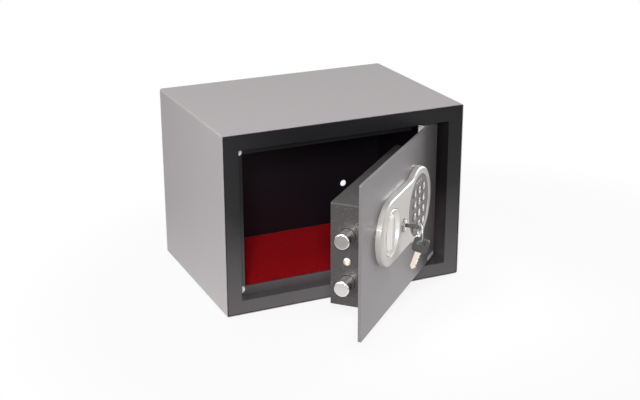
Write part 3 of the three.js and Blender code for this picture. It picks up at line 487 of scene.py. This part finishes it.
def powder_coat(name, colour, roughness, grain, depth, mottle, fleck_and_glint, spots, ior=1.45):
    """Baked powder paint: a fine orange peel, faint clouding, light flecks, and small scuffs that
    shine; strong flecks are painted glints.
    """
    finish = Finish(name, ior=ior)
    cloud = finish.noise(9.0, 4.0, 0.6)
    speck_and_glint = finish.noise(spots, 2.0, 0.7)
    peel = finish.noise(grain, 1.0, 0.4)
    scuff = finish.ramp(finish.noise(60.0, 6.0, 0.75, finish.place((1, 1, 5))), 0.66, 0.74)
    tone = finish.mix(cloud, shade(colour, 1 - mottle), shade(colour, 1 + mottle))
    # Light flecks; where they are strong, as on the box, they are painted glints of light
    tone = finish.mix(finish.ramp(speck_and_glint, 0.58, 0.72) * 0.5, tone, shade(colour, fleck_and_glint))
    tone = finish.mix(scuff * 0.2, tone, shade(colour, 1.06))
    finish.paint(base_color=tone, roughness=roughness + cloud * 0.08 - scuff * 0.02)
    return finish.relief(peel, depth)


def cabinet_coat(name, colour, inner, roughness):
    """Powder coat, worn a little along the cabinet's long edges, with painted shade on the inside:
    near black there.
    """
    finish = powder_coat(
        name, colour, roughness,
        grain=800.0, depth=0.05, mottle=0.035, fleck_and_glint=1.3, spots=650.0,
    )
    half_width, height, half_depth = 0.175, 0.25, 0.125
    skin = 0.001
    edge_band = (0.0028, 0.0004)
    rim_band = (0.0015, 0.0001)
    x, y, z = finish.axes()
    side = finish.ramp(abs(x), half_width - edge_band[0], half_width - edge_band[1])
    top = finish.ramp(z, height - edge_band[0], height - edge_band[1])
    rim = finish.ramp(0 - y, half_depth - rim_band[0], half_depth - rim_band[1])
    patchy = finish.ramp(finish.noise(140.0, 5.0, 0.7), 0.35, 0.65)
    wear = finish.ramp(side * top + rim * (side + top), 0.1, 0.9) * patchy
    plain = Term(finish, finish.shader.inputs["Base Color"].links[0].from_socket)
    worn = finish.mix(wear * 0.5, plain, shade(colour, 0.55))
    across = abs(x) < half_width - skin
    upright = (z > skin) * (z < height - skin)
    inside = across * upright * (y < half_depth - skin)
    # Painted shade: the inside of the cabinet is painted near black, a little cloudy
    painted_inside_shade = finish.mix(finish.noise(30.0, 4.0, 0.6), shade(inner, 0.7), shade(inner, 1.5))
    return finish.paint(base_color=finish.mix(inside, worn, painted_inside_shade))


def frame_coat(name, colour, floor_reflection_colour):
    """Satin black paint, with a painted reflection of the floor that lightens it towards the
    bottom, in streaks.
    """
    finish = Finish(name, ior=1.5)
    height = finish.axes()[2]
    cloud = finish.noise(14.0, 5.0, 0.65)
    # Painted reflection of the white floor: the black turns lighter towards the bottom, with
    # lighter streaks
    painted_floor_reflection = finish.ramp(height + cloud * 0.06, 0.17, 0.03)
    reflection_streak = finish.noise(120.0, 4.0, 0.6, finish.place((1, 1, 0.15)))
    tone = finish.mix(painted_floor_reflection, colour, floor_reflection_colour)
    tone = finish.mix(finish.ramp(reflection_streak, 0.55, 0.75) * painted_floor_reflection * 0.3, tone, shade(floor_reflection_colour, 1.2))
    finish.paint(base_color=tone, roughness=0.28 + cloud * 0.12)
    return finish.relief(finish.noise(520.0, 2.5, 0.6), 0.22)


def plated_steel(name, colour, roughness, stretch=(1, 1, 1), depth=0.01):
    """Zinc-plated or drawn steel: long drawing lines, and the plating's cloudy bloom."""
    finish = Finish(name, metallic=1.0)
    lines = finish.noise(700.0, 3.0, 0.6, finish.place(stretch, OPEN_ANGLE, tuple(PIVOT)))
    bloom = finish.noise(60.0, 4.0, 0.6)
    tone = finish.mix(bloom, shade(colour, 0.86), shade(colour, 1.08))
    tone = finish.mix(finish.ramp(lines, 0.6, 0.8) * 0.3, tone, shade(colour, 0.7))
    finish.paint(base_color=tone, roughness=roughness + lines * 0.12)
    return finish.relief(lines, depth)


def polished(name, colour, roughness):
    """Chrome or nickel: turning rings too fine to feel, and faint wiping marks."""
    finish = Finish(name, metallic=1.0)
    wipe = finish.noise(180.0, 5.0, 0.7, finish.place((1, 6, 1), OPEN_ANGLE))
    rings = finish.noise(2200.0, 1.0, 0.5, finish.place((6, 1, 1), OPEN_ANGLE))
    tone = finish.mix(finish.ramp(wipe, 0.4, 0.8), colour, shade(colour, 0.88))
    smear = finish.ramp(wipe, 0.45, 0.85)
    finish.paint(base_color=tone, roughness=roughness + smear * 0.12)
    return finish.relief(rings, 0.004)


def moulded(name, colour, roughness, grain, depth, metallic=0.0, flake=0.0, coat=0.0):
    """Moulded plastic with a spark-eroded grain, with metal flake where it is silver."""
    finish = Finish(name, metallic=metallic, coat_weight=coat, coat_roughness=0.2, ior=1.48)
    texture = finish.noise(grain, 2.0, 0.6)
    cloud = finish.noise(35.0, 3.0, 0.5)
    tone = finish.mix(cloud, shade(colour, 0.95), shade(colour, 1.05))
    if flake:
        sparkle = finish.ramp(finish.noise(5200.0, 0.0, 0.5), 0.62, 0.7)
        tone = finish.mix(sparkle * flake, tone, shade(colour, 1.35))
    finish.paint(base_color=tone, roughness=roughness + texture * 0.08 + cloud * 0.05)
    return finish.relief(texture, depth)


def pile(name, colour):
    """Short carpet pile: tufts that lean, with painted light on their tips and painted shade at
    their roots.
    """
    finish = Finish(name, roughness=0.95, specular_ior_level=0.15)
    cells = {"Vector": finish.place(), "Scale": 700.0}
    tuft = finish.node("TexVoronoi", {"feature": "F1"}, cells)
    drift = finish.noise(22.0, 4.0, 0.6)
    fibre = finish.noise(3000.0, 2.0, 0.7)
    # Painted light on the tufts' tips and painted shade at their roots
    tone = finish.mix(finish.ramp(tuft, 0.1, 0.7), shade(colour, 1.3), shade(colour, 0.6))
    tone = finish.mix(drift * 0.4, tone, shade(colour, 0.7))
    finish.paint(base_color=tone)
    return finish.relief(0 - tuft + fibre * 0.5, 0.5)


def laminate(name, colour, trace):
    """Circuit board: green mask over fine copper tracks."""
    finish = Finish(name, coat_weight=0.3)
    along = finish.place((1, 1, 1), OPEN_ANGLE, tuple(PIVOT))
    black, white = (0, 0, 0), (1, 1, 1)
    courses = {"Color1": black, "Color2": black, "Mortar": white, "Mortar Size": 0.06}
    tracks = finish.node("TexBrick", {"offset": 0.5}, {"Vector": along, "Scale": 260.0, **courses})
    weave = finish.noise(1600.0, 2.0, 0.5)
    tone = finish.mix(tracks, colour, trace)
    tone = finish.mix(weave * 0.2, tone, shade(colour, 0.6))
    finish.paint(base_color=tone, roughness=0.35 + weave * 0.2)
    return finish.relief(tracks, 0.03)


finishes = {
    # The shell's grey, the door plate's grey and the front frame's black are lit and shaded copies
    # of one paint, painted in three tones
    "grey_paint": cabinet_coat(
        "grey powder coat", (0.37, 0.348, 0.353), inner=(0.004, 0.002, 0.005), roughness=0.42,
    ),
    "dark_paint": frame_coat(
        "black satin paint", (0.006, 0.0055, 0.0068), floor_reflection_colour=(0.080, 0.073, 0.076),
    ),
    "slab_paint": powder_coat(
        "door powder coat", (0.15, 0.139, 0.142), 0.28,
        grain=700.0, depth=0.07, mottle=0.05, fleck_and_glint=1.4, spots=700.0, ior=1.6,
    ),
    # Its strong light flecks are painted glints
    "box_paint": powder_coat(
        "textured box paint", (0.04, 0.036, 0.036), 0.4,
        grain=600.0, depth=0.12, mottle=0.15, fleck_and_glint=5.0, spots=560.0,
    ),
    "bolt_chrome": polished("bolt chrome", (0.94, 0.91, 0.88), 0.06),
    "lock_chrome": polished("lock nickel", (0.42, 0.41, 0.40), 0.3),
    "zinc_steel": plated_steel("zinc plate", (0.58, 0.57, 0.52), 0.3, stretch=(1, 1, 0.06)),
    "ring_steel": plated_steel("plated wire", (0.66, 0.66, 0.66), 0.28),
    "yellow_brass": plated_steel(
        "key brass", (0.93, 0.83, 0.72), 0.28, stretch=(1, 1, 0.08), depth=0.015,
    ),
    "silver_plastic": moulded(
        "silver plastic", (0.47, 0.45, 0.437), 0.34,
        grain=3000.0, depth=0.012, metallic=0.25, flake=0.5, coat=0.15,
    ),
    "pad_plastic": moulded(
        "keypad grey", (0.125, 0.115, 0.117), 0.55, grain=2000.0, depth=0.03,
    ),
    "key_plastic": moulded(
        "key cap grey", (0.17, 0.155, 0.16), 0.5, grain=2200.0, depth=0.02,
    ),
    "lens_plastic": moulded(
        "lamp lens", (0.62, 0.57, 0.53), 0.15, grain=3000.0, depth=0.004, coat=0.5,
    ),
    "board_laminate": laminate("board mask", (0.02, 0.10, 0.03), trace=(0.10, 0.24, 0.08)),
    "black_plastic": moulded(
        "black plastic", (0.06, 0.056, 0.055), 0.42, grain=2000.0, depth=0.03,
    ),
    "red_plastic": moulded(
        "red plastic", (0.42, 0.025, 0.02), 0.35, grain=2400.0, depth=0.01,
    ),
    "cell_sleeve": moulded(
        "cell sleeve", (0.05, 0.065, 0.09), 0.28, grain=900.0, depth=0.004, metallic=0.3, coat=0.4,
    ),
    "red_carpet": pile("red carpet", (0.72, 0.006, 0.015)),
    "pad_rubber": moulded(
        "pale rubber", (0.78, 0.76, 0.73), 0.6, grain=1500.0, depth=0.03,
    ),
}
ink = moulded("key legend ink", (0.93, 0.92, 0.90), 0.5, grain=2000.0, depth=0.004)
# A lighter copy of the housing's silver, partly a painted highlight on the knob's bowl
knob_silver_and_highlight = moulded(
    "knob silver", (0.66, 0.64, 0.62), 0.34,
    grain=3000.0, depth=0.01, metallic=0.2, flake=0.4, coat=0.15,
)
label_foil = moulded(
    "label foil", (0.84, 0.86, 0.87), 0.3, grain=1200.0, depth=0.006, metallic=0.2, flake=0.2,
)


# Dressing pieces

record = frame["record"]
slot_of = {entry["node"]: entry["material_slot"] for entry in record["subparts"]}
body_of = {}
for body, members in record["behaviour"]["bodies"].items():
    for member in members:
        body_of[member] = body


def coat(piece, finish):
    piece.data.materials.clear()
    piece.data.materials.append(finish.material)


def dress(piece, node):
    """Gives a piece the finish, slot and body of a node, and stands for that node."""
    coat(piece, finishes[slot_of[node]])
    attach(piece, body_of[node])
    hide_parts(node)


def on_door(piece, node):
    """Opens a piece that was made on the shut door, and dresses it."""
    move(piece, OPEN_DOOR)
    dress(piece, node)


def refined(node, width, segments):
    """A copy of a node with merged faces and softly rounded edges, which stands for it."""
    alone()
    piece = copy_of(nodes[node], node + "_shape")
    piece.parent = None
    # The copy drops the marks that it took over from its node
    for key in list(piece.keys()):
        del piece[key]
    enter(piece, "VERT")
    bpy.ops.mesh.select_all(action="SELECT")
    bpy.ops.mesh.remove_doubles(threshold=WELD)
    bpy.ops.mesh.dissolve_limited(angle_limit=math.radians(0.6))
    alone(piece)
    soften(piece, width, segments)
    smooth(piece, 40)
    dress(piece, node)


# Front of the door: housing, knob, keypad and lock

KNOB_WELL = 30.9
KEYPAD_WELL = 42.3
LOCK_WELL = 8.4


def make_cover():
    """Moulded housing: a lobe for the keypad and one for the knob, with wells cut for both."""
    z = KNOB[1]
    right, right_radius, left = 49, 52, -60
    fillet, fillet_height = 14.13, 72
    lobe, lean = 115.85, 25.85
    cover = outline(
        "lock_cover_shape",
        (right + right_radius, z),
        COVER_BACK,
        [
            ("arc", right, z, lobe, 36),
            ("arc", fillet, z + fillet_height, -lean, 10),
            ("line", left - fillet, 0),
            ("arc", left, z, 180, 56),
            ("line", fillet - left, 0),
            ("arc", fillet, z - fillet_height, -lean, 10),
            ("arc", right, z, lobe, 36),
        ],
    )
    raise_face([(0.4, 5.6), (0.25, 0.8), (0.5, 0.6), (0.75, 0.4), (0.9, 0.2), (1.1, 0.1)])
    alone(cover)
    wall = cover.modifiers.new("wall", "SOLIDIFY")
    wall.thickness = 2 * MM
    wall.offset = -1
    apply_modifiers(cover)
    before, behind = COVER_FRONT - 5, COVER_BACK + 4.3
    carve(
        cover,
        rod(KNOB_WELL, before, behind, *KNOB, 128),
        rod(KEYPAD_WELL, before, behind, *KEYPAD, 128),
        rod(LOCK_WELL, before, behind, *LOCK, 64),
    )

    def front_rim(edge):
        at = middle(edge) / MM
        if at.y > COVER_FRONT + 0.1:
            return False
        rings = ((KNOB, KNOB_WELL), (KEYPAD, KEYPAD_WELL))
        return any(
            abs(math.hypot(at.x - centre[0], at.z - centre[1]) - radius) < 0.08
            for centre, radius in rings
        )

    enter(cover, "EDGE")
    pick(cover, "EDGE", front_rim)
    bpy.ops.mesh.bevel(offset=0.7 * MM, segments=4, affect="EDGES", clamp_overlap=True)
    alone(cover)
    inner, outer, front = 30.85, 31.9, -119
    sleeve = [
        (inner, COVER_BACK), (inner, front), (outer, front), (outer, COVER_BACK),
        (inner, COVER_BACK),
    ]
    well = turned("well", "Y", (KNOB[0], 0, KNOB[1]), sleeve, 128)
    join(cover, well)
    smooth(cover, 28)
    on_door(cover, "lock_cover")


def make_knob():
    """Dished knob with a waisted finger bar across it."""
    x, z = KNOB
    dish = [
        (0, -113.9), (8, -113.9), (16, -113.95), (22, -114), (24.6, -114.15), (26, -114.6),
        (26.8, -115.5),
    ]
    rise = [(27.2, -116.8), (27.5, -118.4), (27.75, -119.4), (28.1, -119.95), (28.6, -120.17)]
    lip = [(29.3, -120.2), (29.9, -120.1), (30.25, -119.8), (30.4, -119.3)]
    back = [(30.4, -112.3), (6.2, -112.3), (6.2, -108.5), (0, -108.5)]
    bowl = turned("knob_shape", "Y", (x, 0, z), dish + rise + lip + back, 144)
    half, reach, hollow = 4.6, 22.6, 201.1
    foot = -113.6
    waist = -2 * math.degrees(math.atan2(reach, hollow))
    grip = outline(
        "grip",
        (x + half, z - reach),
        foot,
        [
            ("arc", x + half + hollow, z, waist, 18),
            ("arc", x, z + reach, 180, 16),
            ("arc", x - half - hollow, z, waist, 18),
            ("arc", x, z - reach, 180, 16),
        ],
    )
    raise_face([(0.35, 0.5), (0.25, 0.6), (0.15, 0.8)])
    extrude(0, -3.9, 0)
    bpy.ops.transform.resize(value=(0.9, 1, 0.86))
    raise_face([(0.12, 0.5), (0.2, 0.32), (0.32, 0.2), (0.5, 0.1), (0.4, 0.02)])
    close_back(grip, foot)
    mend(grip)
    join(bowl, grip)
    smooth(bowl, 30)
    on_door(bowl, "knob")
    # Its silver is lighter than the housing's; part of that is a painted highlight for the bright
    # bowl
    coat(bowl, knob_silver_and_highlight)


KEY_PITCH = (18, 16)
TOP_ROW = 21.5
LEGENDS = "123456789*0#"


def key_places():
    """The middles of the twelve keys, row by row from the top left."""
    for index in range(len(LEGENDS)):
        row, column = divmod(index, 3)
        yield KEYPAD[0] + (column - 1) * KEY_PITCH[0], KEYPAD[1] + TOP_ROW - row * KEY_PITCH[1]


def make_keypad():
    """Keypad panel with a round hole for each key and three small ones for the lamps."""
    x, z = KEYPAD
    profile = [
        (0, -119), (41.2, -119), (41.7, -118.9), (41.95, -118.5), (41.95, -117.7),
        (44, -117.7), (44, -116.4), (0, -116.4),
    ]
    panel = turned("keypad_panel_shape", "Y", (x, 0, z), profile, 128)
    before, behind = -122, -114
    half_wide, half_tall = 6.95, 5.95
    tools = []
    for key_x, key_z in key_places():
        hole = rod(half_wide, before, behind, key_x, key_z, 40)
        enter(hole, "VERT")
        bpy.ops.mesh.select_all(action="SELECT")
        flatten(half_tall / half_wide, key_x, key_z)
        alone(hole)
        tools.append(hole)
    lamp_radius, lamp_height, lamp_pitch = 1.9, 33.5, 9
    for offset in (-lamp_pitch, 0, lamp_pitch):
        tools.append(rod(lamp_radius, before, behind, x + offset, z + lamp_height, 24))
    carve(panel, *tools)
    smooth(panel, 30)
    on_door(panel, "keypad_panel")


def make_keys():
    """Domed key caps, each with its digit."""
    places = list(key_places())
    first_x, first_z = places[0]
    half_wide, half_tall = 6.55, 5.55
    back = -115.9
    cap = outline("cap", (first_x + half_wide, first_z), back, [("arc", first_x, first_z, 360, 40)])
    flatten(half_tall / half_wide, first_x, first_z)
    raise_face([(0.05, 3.7), (0.12, 0.35), (0.3, 0.27), (0.7, 0.14), (1.0, 0.04), (1.4, -0.04)])
    close_back(cap, back)
    mend(cap)
    smooth(cap, 40)
    for index, (x, z) in enumerate(places):
        node = "keypad_button_%02d" % (index + 1)
        shape = copy_of(cap, node + "_shape")
        move(shape, Matrix.Translation(Vector((x - first_x, 0, z - first_z)) * MM))
        on_door(shape, node)
        make_legend(node, LEGENDS[index], x, z)
    bpy.data.objects.remove(cap)


def make_legend(node, digit, x, z):
    """A digit printed on a key, a little proud of its top."""
    key_top, half_thick = -120.36, 0.06
    alone()
    bpy.ops.object.text_add(
        location=(x * MM, (key_top - half_thick) * MM, z * MM),
        rotation=(math.pi / 2, 0, 0),
    )
    legend = bpy.context.object
    legend.data.body = digit
    legend.data.size = 12 * MM
    legend.data.align_x = "CENTER"
    legend.data.align_y = "CENTER"
    legend.data.extrude = half_thick * MM
    # A larger offset would close the round digits' counters
    legend.data.offset = 0.17 * MM
    bpy.ops.object.convert(target="MESH")
    move(legend, OPEN_DOOR)
    legend.name = node + "_legend"
    coat(legend, ink)
    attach(legend, body_of[node])


def make_lock():
    """Barrel of the key lock, with a rounded collar on the housing."""
    profile = [
        (6.3, -93), (6.3, -121.6), (6.6, -121.9), (8.6, -121.9), (9.2, -121.7),
        (9.5, -121.2), (9.5, -120.3), (8, -120.3), (8, -93), (6.3, -93),
    ]
    barrel = turned("lock_barrel_shape", "Y", (LOCK[0], 0, LOCK[1]), profile, 72)
    smooth(barrel, 30)
    on_door(barrel, "lock_barrel")


def make_label():
    """Bare foil label at the lower hinge corner of the slab."""
    label = rounded_rectangle(
        "door_label",
        left=120, right=146.5, low=23.4, high=29.4, corner=0.8, y=PLATE_FRONT, steps=4,
    )
    raise_face([(HAIR, 0.16), (0.1, 0.05)])
    close_back(label, PLATE_FRONT)
    move(label, OPEN_DOOR)
    coat(label, label_foil)
    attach(label, "door")


# Free side of the door: bolts and screw

def make_bolts():
    """Round bolts with a chamfered nose, and the neck that the carriage holds."""
    profile = [
        (0, -156), (8.4, -156), (8.8, -155.95), (9.2, -155.75), (9.85, -155), (10, -154.5),
        (10, -101.3), (5, -101.3), (5, -98.2), (5.8, -98.2), (5.8, -97), (0, -97),
    ]
    first = BOLT_HEIGHTS["bolt_upper"]
    bolt = turned("bolt", "X", (0, BOLT_AXIS, first), profile, 80)
    smooth(bolt, 25)
    for node, height in BOLT_HEIGHTS.items():
        shape = copy_of(bolt, node + "_shape")
        move(shape, Matrix.Translation(Vector((0, 0, height - first)) * MM))
        on_door(shape, node)
    bpy.data.objects.remove(bolt)


def make_box_screw():
    """Domed screw head with a cross recess."""
    face, back = -135.3, -131.5
    profile = [
        (0, face - 2.6), (2, face - 2.55), (3.6, face - 2.3), (4.7, face - 1.7),
        (5.3, face - 0.8), (5.5, face), (2, face), (2, back), (0, back),
    ]
    y, z = BOLT_AXIS, SCREW_HEIGHT
    screw = turned("box_screw_shape", "X", (0, y, z), profile, 56)
    arm, half, front, bottom = 2.6, 0.5, face - 4, face - 0.9
    carve(
        screw,
        slab("slot", (front, y - arm, z - half), (bottom, y + arm, z + half)),
        slab("slot", (front, y - half, z - arm), (bottom, y + half, z + arm)),
    )
    smooth(screw, 30)
    on_door(screw, "box_screw")


# Keys and ring

KEY_TURN = math.radians(21.6)
BOW_BASE = -122.6
BOW_LENGTH = 19.5

# The ring hangs from the bar at the end of the key's bow, and the spare key from the ring
BRIDGE = BOW_BASE - BOW_LENGTH + 1.6
RING_RADIUS = 12.5
RING_TOP = LOCK[1] + 2.5 / math.cos(KEY_TURN) + 1.2
RING_CENTRE = Vector((LOCK[0] + 3, BRIDGE, RING_TOP - RING_RADIUS)) * MM
RING_TURN = math.radians(58)
SPARE_TURN = math.radians(67.9)
SPARE_TILT = math.radians(18)
KEY_PLACE = (
    Matrix.Translation(Vector((LOCK[0], 0, LOCK[1])) * MM)
    @ Matrix.Rotation(KEY_TURN, 4, "Y")
    @ Matrix.Translation(Vector((0, BOW_BASE, 0)) * MM)
    @ Matrix.Rotation(math.radians(90), 4, "X")
)
SPARE_PLACE = (
    Matrix.Translation(RING_CENTRE - Vector((0, 0, RING_RADIUS)) * MM)
    @ Matrix.Rotation(-SPARE_TURN, 4, "Z")
    @ Matrix.Rotation(SPARE_TILT, 4, "Y")
    @ Matrix.Translation(Vector((2.5, 0, 0.7 + 1.1 - (BOW_LENGTH - 3.2))) * MM)
)


def make_bow(name):
    """The moulded bow of a key, upright: the blade's end at nought, the eye near the top."""
    half, length, shoulder, round_end = 10.5, BOW_LENGTH, 6, 4
    bow = outline(
        name,
        (half, shoulder),
        0,
        [
            ("line", 0, length - shoulder - round_end),
            ("arc", half - round_end, length - round_end, 90, 8),
            ("line", -2 * (half - round_end), 0),
            ("arc", -half + round_end, length - round_end, 90, 8),
            ("line", 0, -(length - shoulder - round_end)),
            ("arc", -half + shoulder, shoulder, 90, 10),
            ("line", 2 * (half - shoulder), 0),
            ("arc", half - shoulder, shoulder, 90, 10),
        ],
    )
    raise_face([(HAIR, 1.5), (0.25, 0.55), (0.35, 0.3), (0.4, 0.15), (0.9, HAIR), (0.3, -0.3)])

    def back_face(face):
        return abs(face.calc_center_median().y) < 0.001 * MM and abs(face.normal.y) > 0.9

    pick(bow, "FACE", back_face)
    bpy.ops.mesh.delete(type="FACE")
    alone(bow)
    twin = bow.modifiers.new("both sides", "MIRROR")
    twin.use_axis = (False, True, False)
    twin.merge_threshold = 0.01 * MM
    apply_modifiers(bow)
    mend(bow)
    eye = rounded_rectangle(
        "eye",
        left=-5.9, right=5.9, low=length - 8.7, high=length - 3.3, corner=1.9, y=-5, steps=6,
    )
    extrude(0, 10, 0)
    mend(eye)
    tang = slab("tang", (-4.35, -1.4, -2), (4.35, 1.4, 6.4))
    face, sunk = 2.35, 0.35
    panels = [
        slab("panel", (-6.6, side * face - sunk, 2.6), (6.6, side * face + sunk, 8.8))
        for side in (-1, 1)
    ]
    carve(bow, eye, tang, *panels)
    soften(bow, 0.18, 2, 50)
    smooth(bow, 34)
    return bow


def make_key_bows():
    """The bow of the key in the lock, and its twin on the ring."""
    key = make_bow("key_bow_shape")
    spare = copy_of(key, "spare_bow_shape")
    move(key, KEY_PLACE)
    move(spare, SPARE_PLACE)
    on_door(key, "key_bow")
    on_door(spare, "spare_bow")


def make_ring():
    """Split ring: two turns of wire side by side, with the step where one passes the other."""
    turns, steps, start = 1.94, 90, 0.9
    wire, pitch, steepness = 0.34, 0.72, 24
    points = []
    for index in range(steps):
        share = index / (steps - 1)
        angle = 2 * math.pi * turns * share + start
        side = pitch * (1 / (1 + math.exp(-steepness * (share - 0.5))) - 0.5)
        round_y = RING_RADIUS * math.cos(angle)
        round_z = RING_RADIUS * math.sin(angle)
        points.append(Vector((side, round_y, round_z)) * MM)
    ring = wire_along("key_ring_shape", points, wire)
    move(ring, Matrix.Translation(RING_CENTRE) @ Matrix.Rotation(-RING_TURN, 4, "Z"))
    smooth(ring, 50)
    on_door(ring, "key_ring")


# Carpet and spring

def make_mat():
    """Carpet with a surface that is not quite flat."""
    low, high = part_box("floor_mat")
    size = high - low
    lift, thick = 0.05, 1.15
    alone()
    bpy.ops.mesh.primitive_grid_add(
        x_subdivisions=150, y_subdivisions=90, size=1, location=(0, 0, 0),
    )
    mat = bpy.context.object
    mat.name = "floor_mat_shape"
    mat.scale = (size.x, size.y, 1)
    mat.location = ((low.x + high.x) / 2, (low.y + high.y) / 2, low.z + lift * MM)
    bpy.ops.object.transform_apply(location=True, rotation=False, scale=True)
    enter(mat, "FACE")
    bpy.ops.mesh.select_all(action="SELECT")
    extrude(0, 0, thick)
    bpy.ops.mesh.normals_make_consistent(inside=False)
    alone(mat)
    for vertex in mat.data.vertices:
        if vertex.co.z > low.z + thick / 2 * MM:
            vertex.co.z += random.uniform(-0.22, 0.28) * MM
    smooth(mat, 60)
    dress(mat, "floor_mat")


def make_spring():
    """Coil between the locking pin's collar and the solenoid."""
    low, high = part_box("pin_spring")
    centre = (low + high) / 2
    wire, radius, turns, steps, end_pitch = 0.44, 4, 5, 24, 1.0
    rise = (high.z - low.z) / MM - 2 * wire
    heights = [(0, 0), (1, end_pitch), (turns - 1, rise - end_pitch), (turns, rise)]
    points = []
    for index in range(turns * steps + 1):
        turn = index / steps
        for (t0, h0), (t1, h1) in zip(heights, heights[1:]):
            if t0 <= turn <= t1:
                height = h0 + (h1 - h0) * (turn - t0) / (t1 - t0)
        angle = 2 * math.pi * turn
        out = Vector((radius * math.cos(angle), radius * math.sin(angle), 0)) * MM
        points.append(Vector((centre.x, centre.y, low.z + (wire + height) * MM)) + out)
    spring = wire_along("pin_spring_shape", points, wire)
    smooth(spring, 50)
    coat(spring, finishes["zinc_steel"])
    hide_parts("pin_spring")
    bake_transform(spring)


make_cover()
make_knob()
make_keypad()
make_keys()
make_lock()
make_key_bows()
make_ring()
make_label()
make_mat()
make_spring()
make_box_screw()
make_bolts()

# The width of the rounding in millimetres, and the segments across it
ROUNDED = {
    "body_wrap": (0.5, 2),
    "back_panel": (0.5, 2),
    "front_frame": (0.7, 3),
    "door_plate": (0.6, 3),
    "hinge_bar": (0.7, 3),
    "bolt_box": (0.45, 2),
    "stop_pad_upper": (0.5, 3),
    "stop_pad_lower": (0.5, 3),
    "hinge_pin_upper": (0.6, 2),
    "hinge_pin_lower": (0.6, 2),
    "lock_plug": (0.25, 2),
    "key_blade": (0.25, 2),
    "spare_blade": (0.25, 2),
    "battery_cover": (0.5, 2),
    "reset_button": (0.2, 2),
    "lock_nut": (0.4, 2),
    "solenoid": (0.3, 2),
    "bolt_carriage": (0.3, 2),
    "knob_crank": (0.3, 2),
    "lift_cam": (0.3, 2),
    "lamp_1": (0.1, 1),
    "lamp_2": (0.1, 1),
    "lamp_3": (0.1, 1),
    "battery_holder": (0.3, 2),
}
for node_name, (width, segments) in ROUNDED.items():
    refined(node_name, width, segments)

# The pieces that stay as their solids get their finish
for node_name, node in nodes.items():
    coat(node, finishes[slot_of[node_name]])


# Studio

def make_floor():
    """Floor that the camera sees as white, with a faint shadow near the safe."""
    alone()
    bpy.ops.mesh.primitive_plane_add(size=12, location=(0, 0, -0.0005))
    floor = bpy.context.object
    floor.name = "studio_floor"
    paper = Finish("studio paper", roughness=0.9)
    door_foot = (0.13, -0.17)
    far, close = 0.6, 0.12
    grey, white = (0.2, 0.2, 0.2), (0.92, 0.9, 0.9)
    near = paper.ramp(paper.distance(*door_foot), far, close)
    paper.paint(base_color=paper.mix(near, grey, white))
    seen = paper.node("LightPath", output="Is Camera Ray")
    through = paper.node("LightPath", output="Is Transmission Ray")
    mirrored = paper.node("LightPath", output="Is Glossy Ray")
    glow = paper.node("Emission", {}, {"Color": (1, 1, 1), "Strength": 1.0})
    share = (seen + through) * (1 - near * 0.2) + mirrored * (near * 0.97 + 0.02)
    lit = Term(paper, paper.shader.outputs[0])
    blend = paper.node("MixShader", {}, {0: share, 1: lit, 2: glow})
    paper.fill(paper.tree.nodes["Material Output"].inputs["Surface"], blend)
    floor.data.materials.append(paper.material)


def make_world(strength):
    """Even light from all round, seen and mirrored as white."""
    world = bpy.data.worlds.new("studio")
    world.use_nodes = True
    tree = world.node_tree
    soft = tree.nodes["Background"]
    soft.inputs["Color"].default_value = (1, 1, 1, 1)
    soft.inputs["Strength"].default_value = strength
    white = tree.nodes.new("ShaderNodeBackground")
    white.inputs["Color"].default_value = (1, 1, 1, 1)
    white.inputs["Strength"].default_value = 1.0
    path = tree.nodes.new("ShaderNodeLightPath")
    mix = tree.nodes.new("ShaderNodeMixShader")
    seen = path.outputs["Is Camera Ray"]
    for ray in ("Is Glossy Ray", "Is Transmission Ray"):
        either = tree.nodes.new("ShaderNodeMath")
        either.operation = "MAXIMUM"
        tree.links.new(seen, either.inputs[0])
        tree.links.new(path.outputs[ray], either.inputs[1])
        seen = either.outputs[0]
    tree.links.new(seen, mix.inputs[0])
    tree.links.new(soft.outputs[0], mix.inputs[1])
    tree.links.new(white.outputs[0], mix.inputs[2])
    tree.links.new(mix.outputs[0], tree.nodes["World Output"].inputs["Surface"])
    bpy.context.scene.world = world


def make_lamp(name, place, aim, size, watts):
    """A lamp with a rectangular face, its size in metres, turned towards a point."""
    data = bpy.data.lights.new(name, "AREA")
    data.shape = "RECTANGLE"
    data.size, data.size_y = size
    data.energy = watts
    lamp = bpy.data.objects.new(name, data)
    lamp.location = place
    lamp.rotation_euler = (Vector(place) - Vector(aim)).to_track_quat("Z", "Y").to_euler()
    bpy.context.scene.collection.objects.link(lamp)


def make_camera():
    """The camera that took the photograph, as worked out from the cabinet's corners."""
    place = Vector((-0.68605, -1.53051, 0.71827))
    turn, rise, roll = -0.43087, 0.355231, -0.00198
    focal_pixels, picture_width = 1250.18, 640
    level = math.cos(rise)
    back = Vector((math.sin(turn) * level, -math.cos(turn) * level, math.sin(rise)))
    right = (-back).cross(Vector((0, 0, 1))).normalized()
    up = right.cross(-back)
    across = math.cos(roll) * right + math.sin(roll) * up
    upright = -math.sin(roll) * right + math.cos(roll) * up
    data = bpy.data.cameras.new("photo_camera")
    data.sensor_width = 36
    data.lens = data.sensor_width * focal_pixels / picture_width
    camera = bpy.data.objects.new("photo_camera", data)
    frame_of_view = Matrix((across, upright, back)).transposed().to_4x4()
    frame_of_view.translation = place
    camera.matrix_world = frame_of_view
    bpy.context.scene.collection.objects.link(camera)
    bpy.context.scene.camera = camera


make_floor()
make_world(strength=0.1)
make_lamp("left_light", (-2.3, -0.9, 0.9), (-0.05, -0.05, 0.12), (1.5, 1.2), 42)
make_lamp("top_light", (-0.5, -0.1, 2.4), (0, 0, 0.2), (1.4, 1.0), 17)
make_lamp("right_light", (2.3, 0.6, 0.45), (0.05, -0.15, 0.12), (1.0, 0.9), 70)
make_lamp("front_light", (-0.78, -1.65, 0.9), (0, -0.1, 0.12), (0.3, 0.3), 27)
make_camera()
bpy.context.scene.view_settings.view_transform = "Standard"
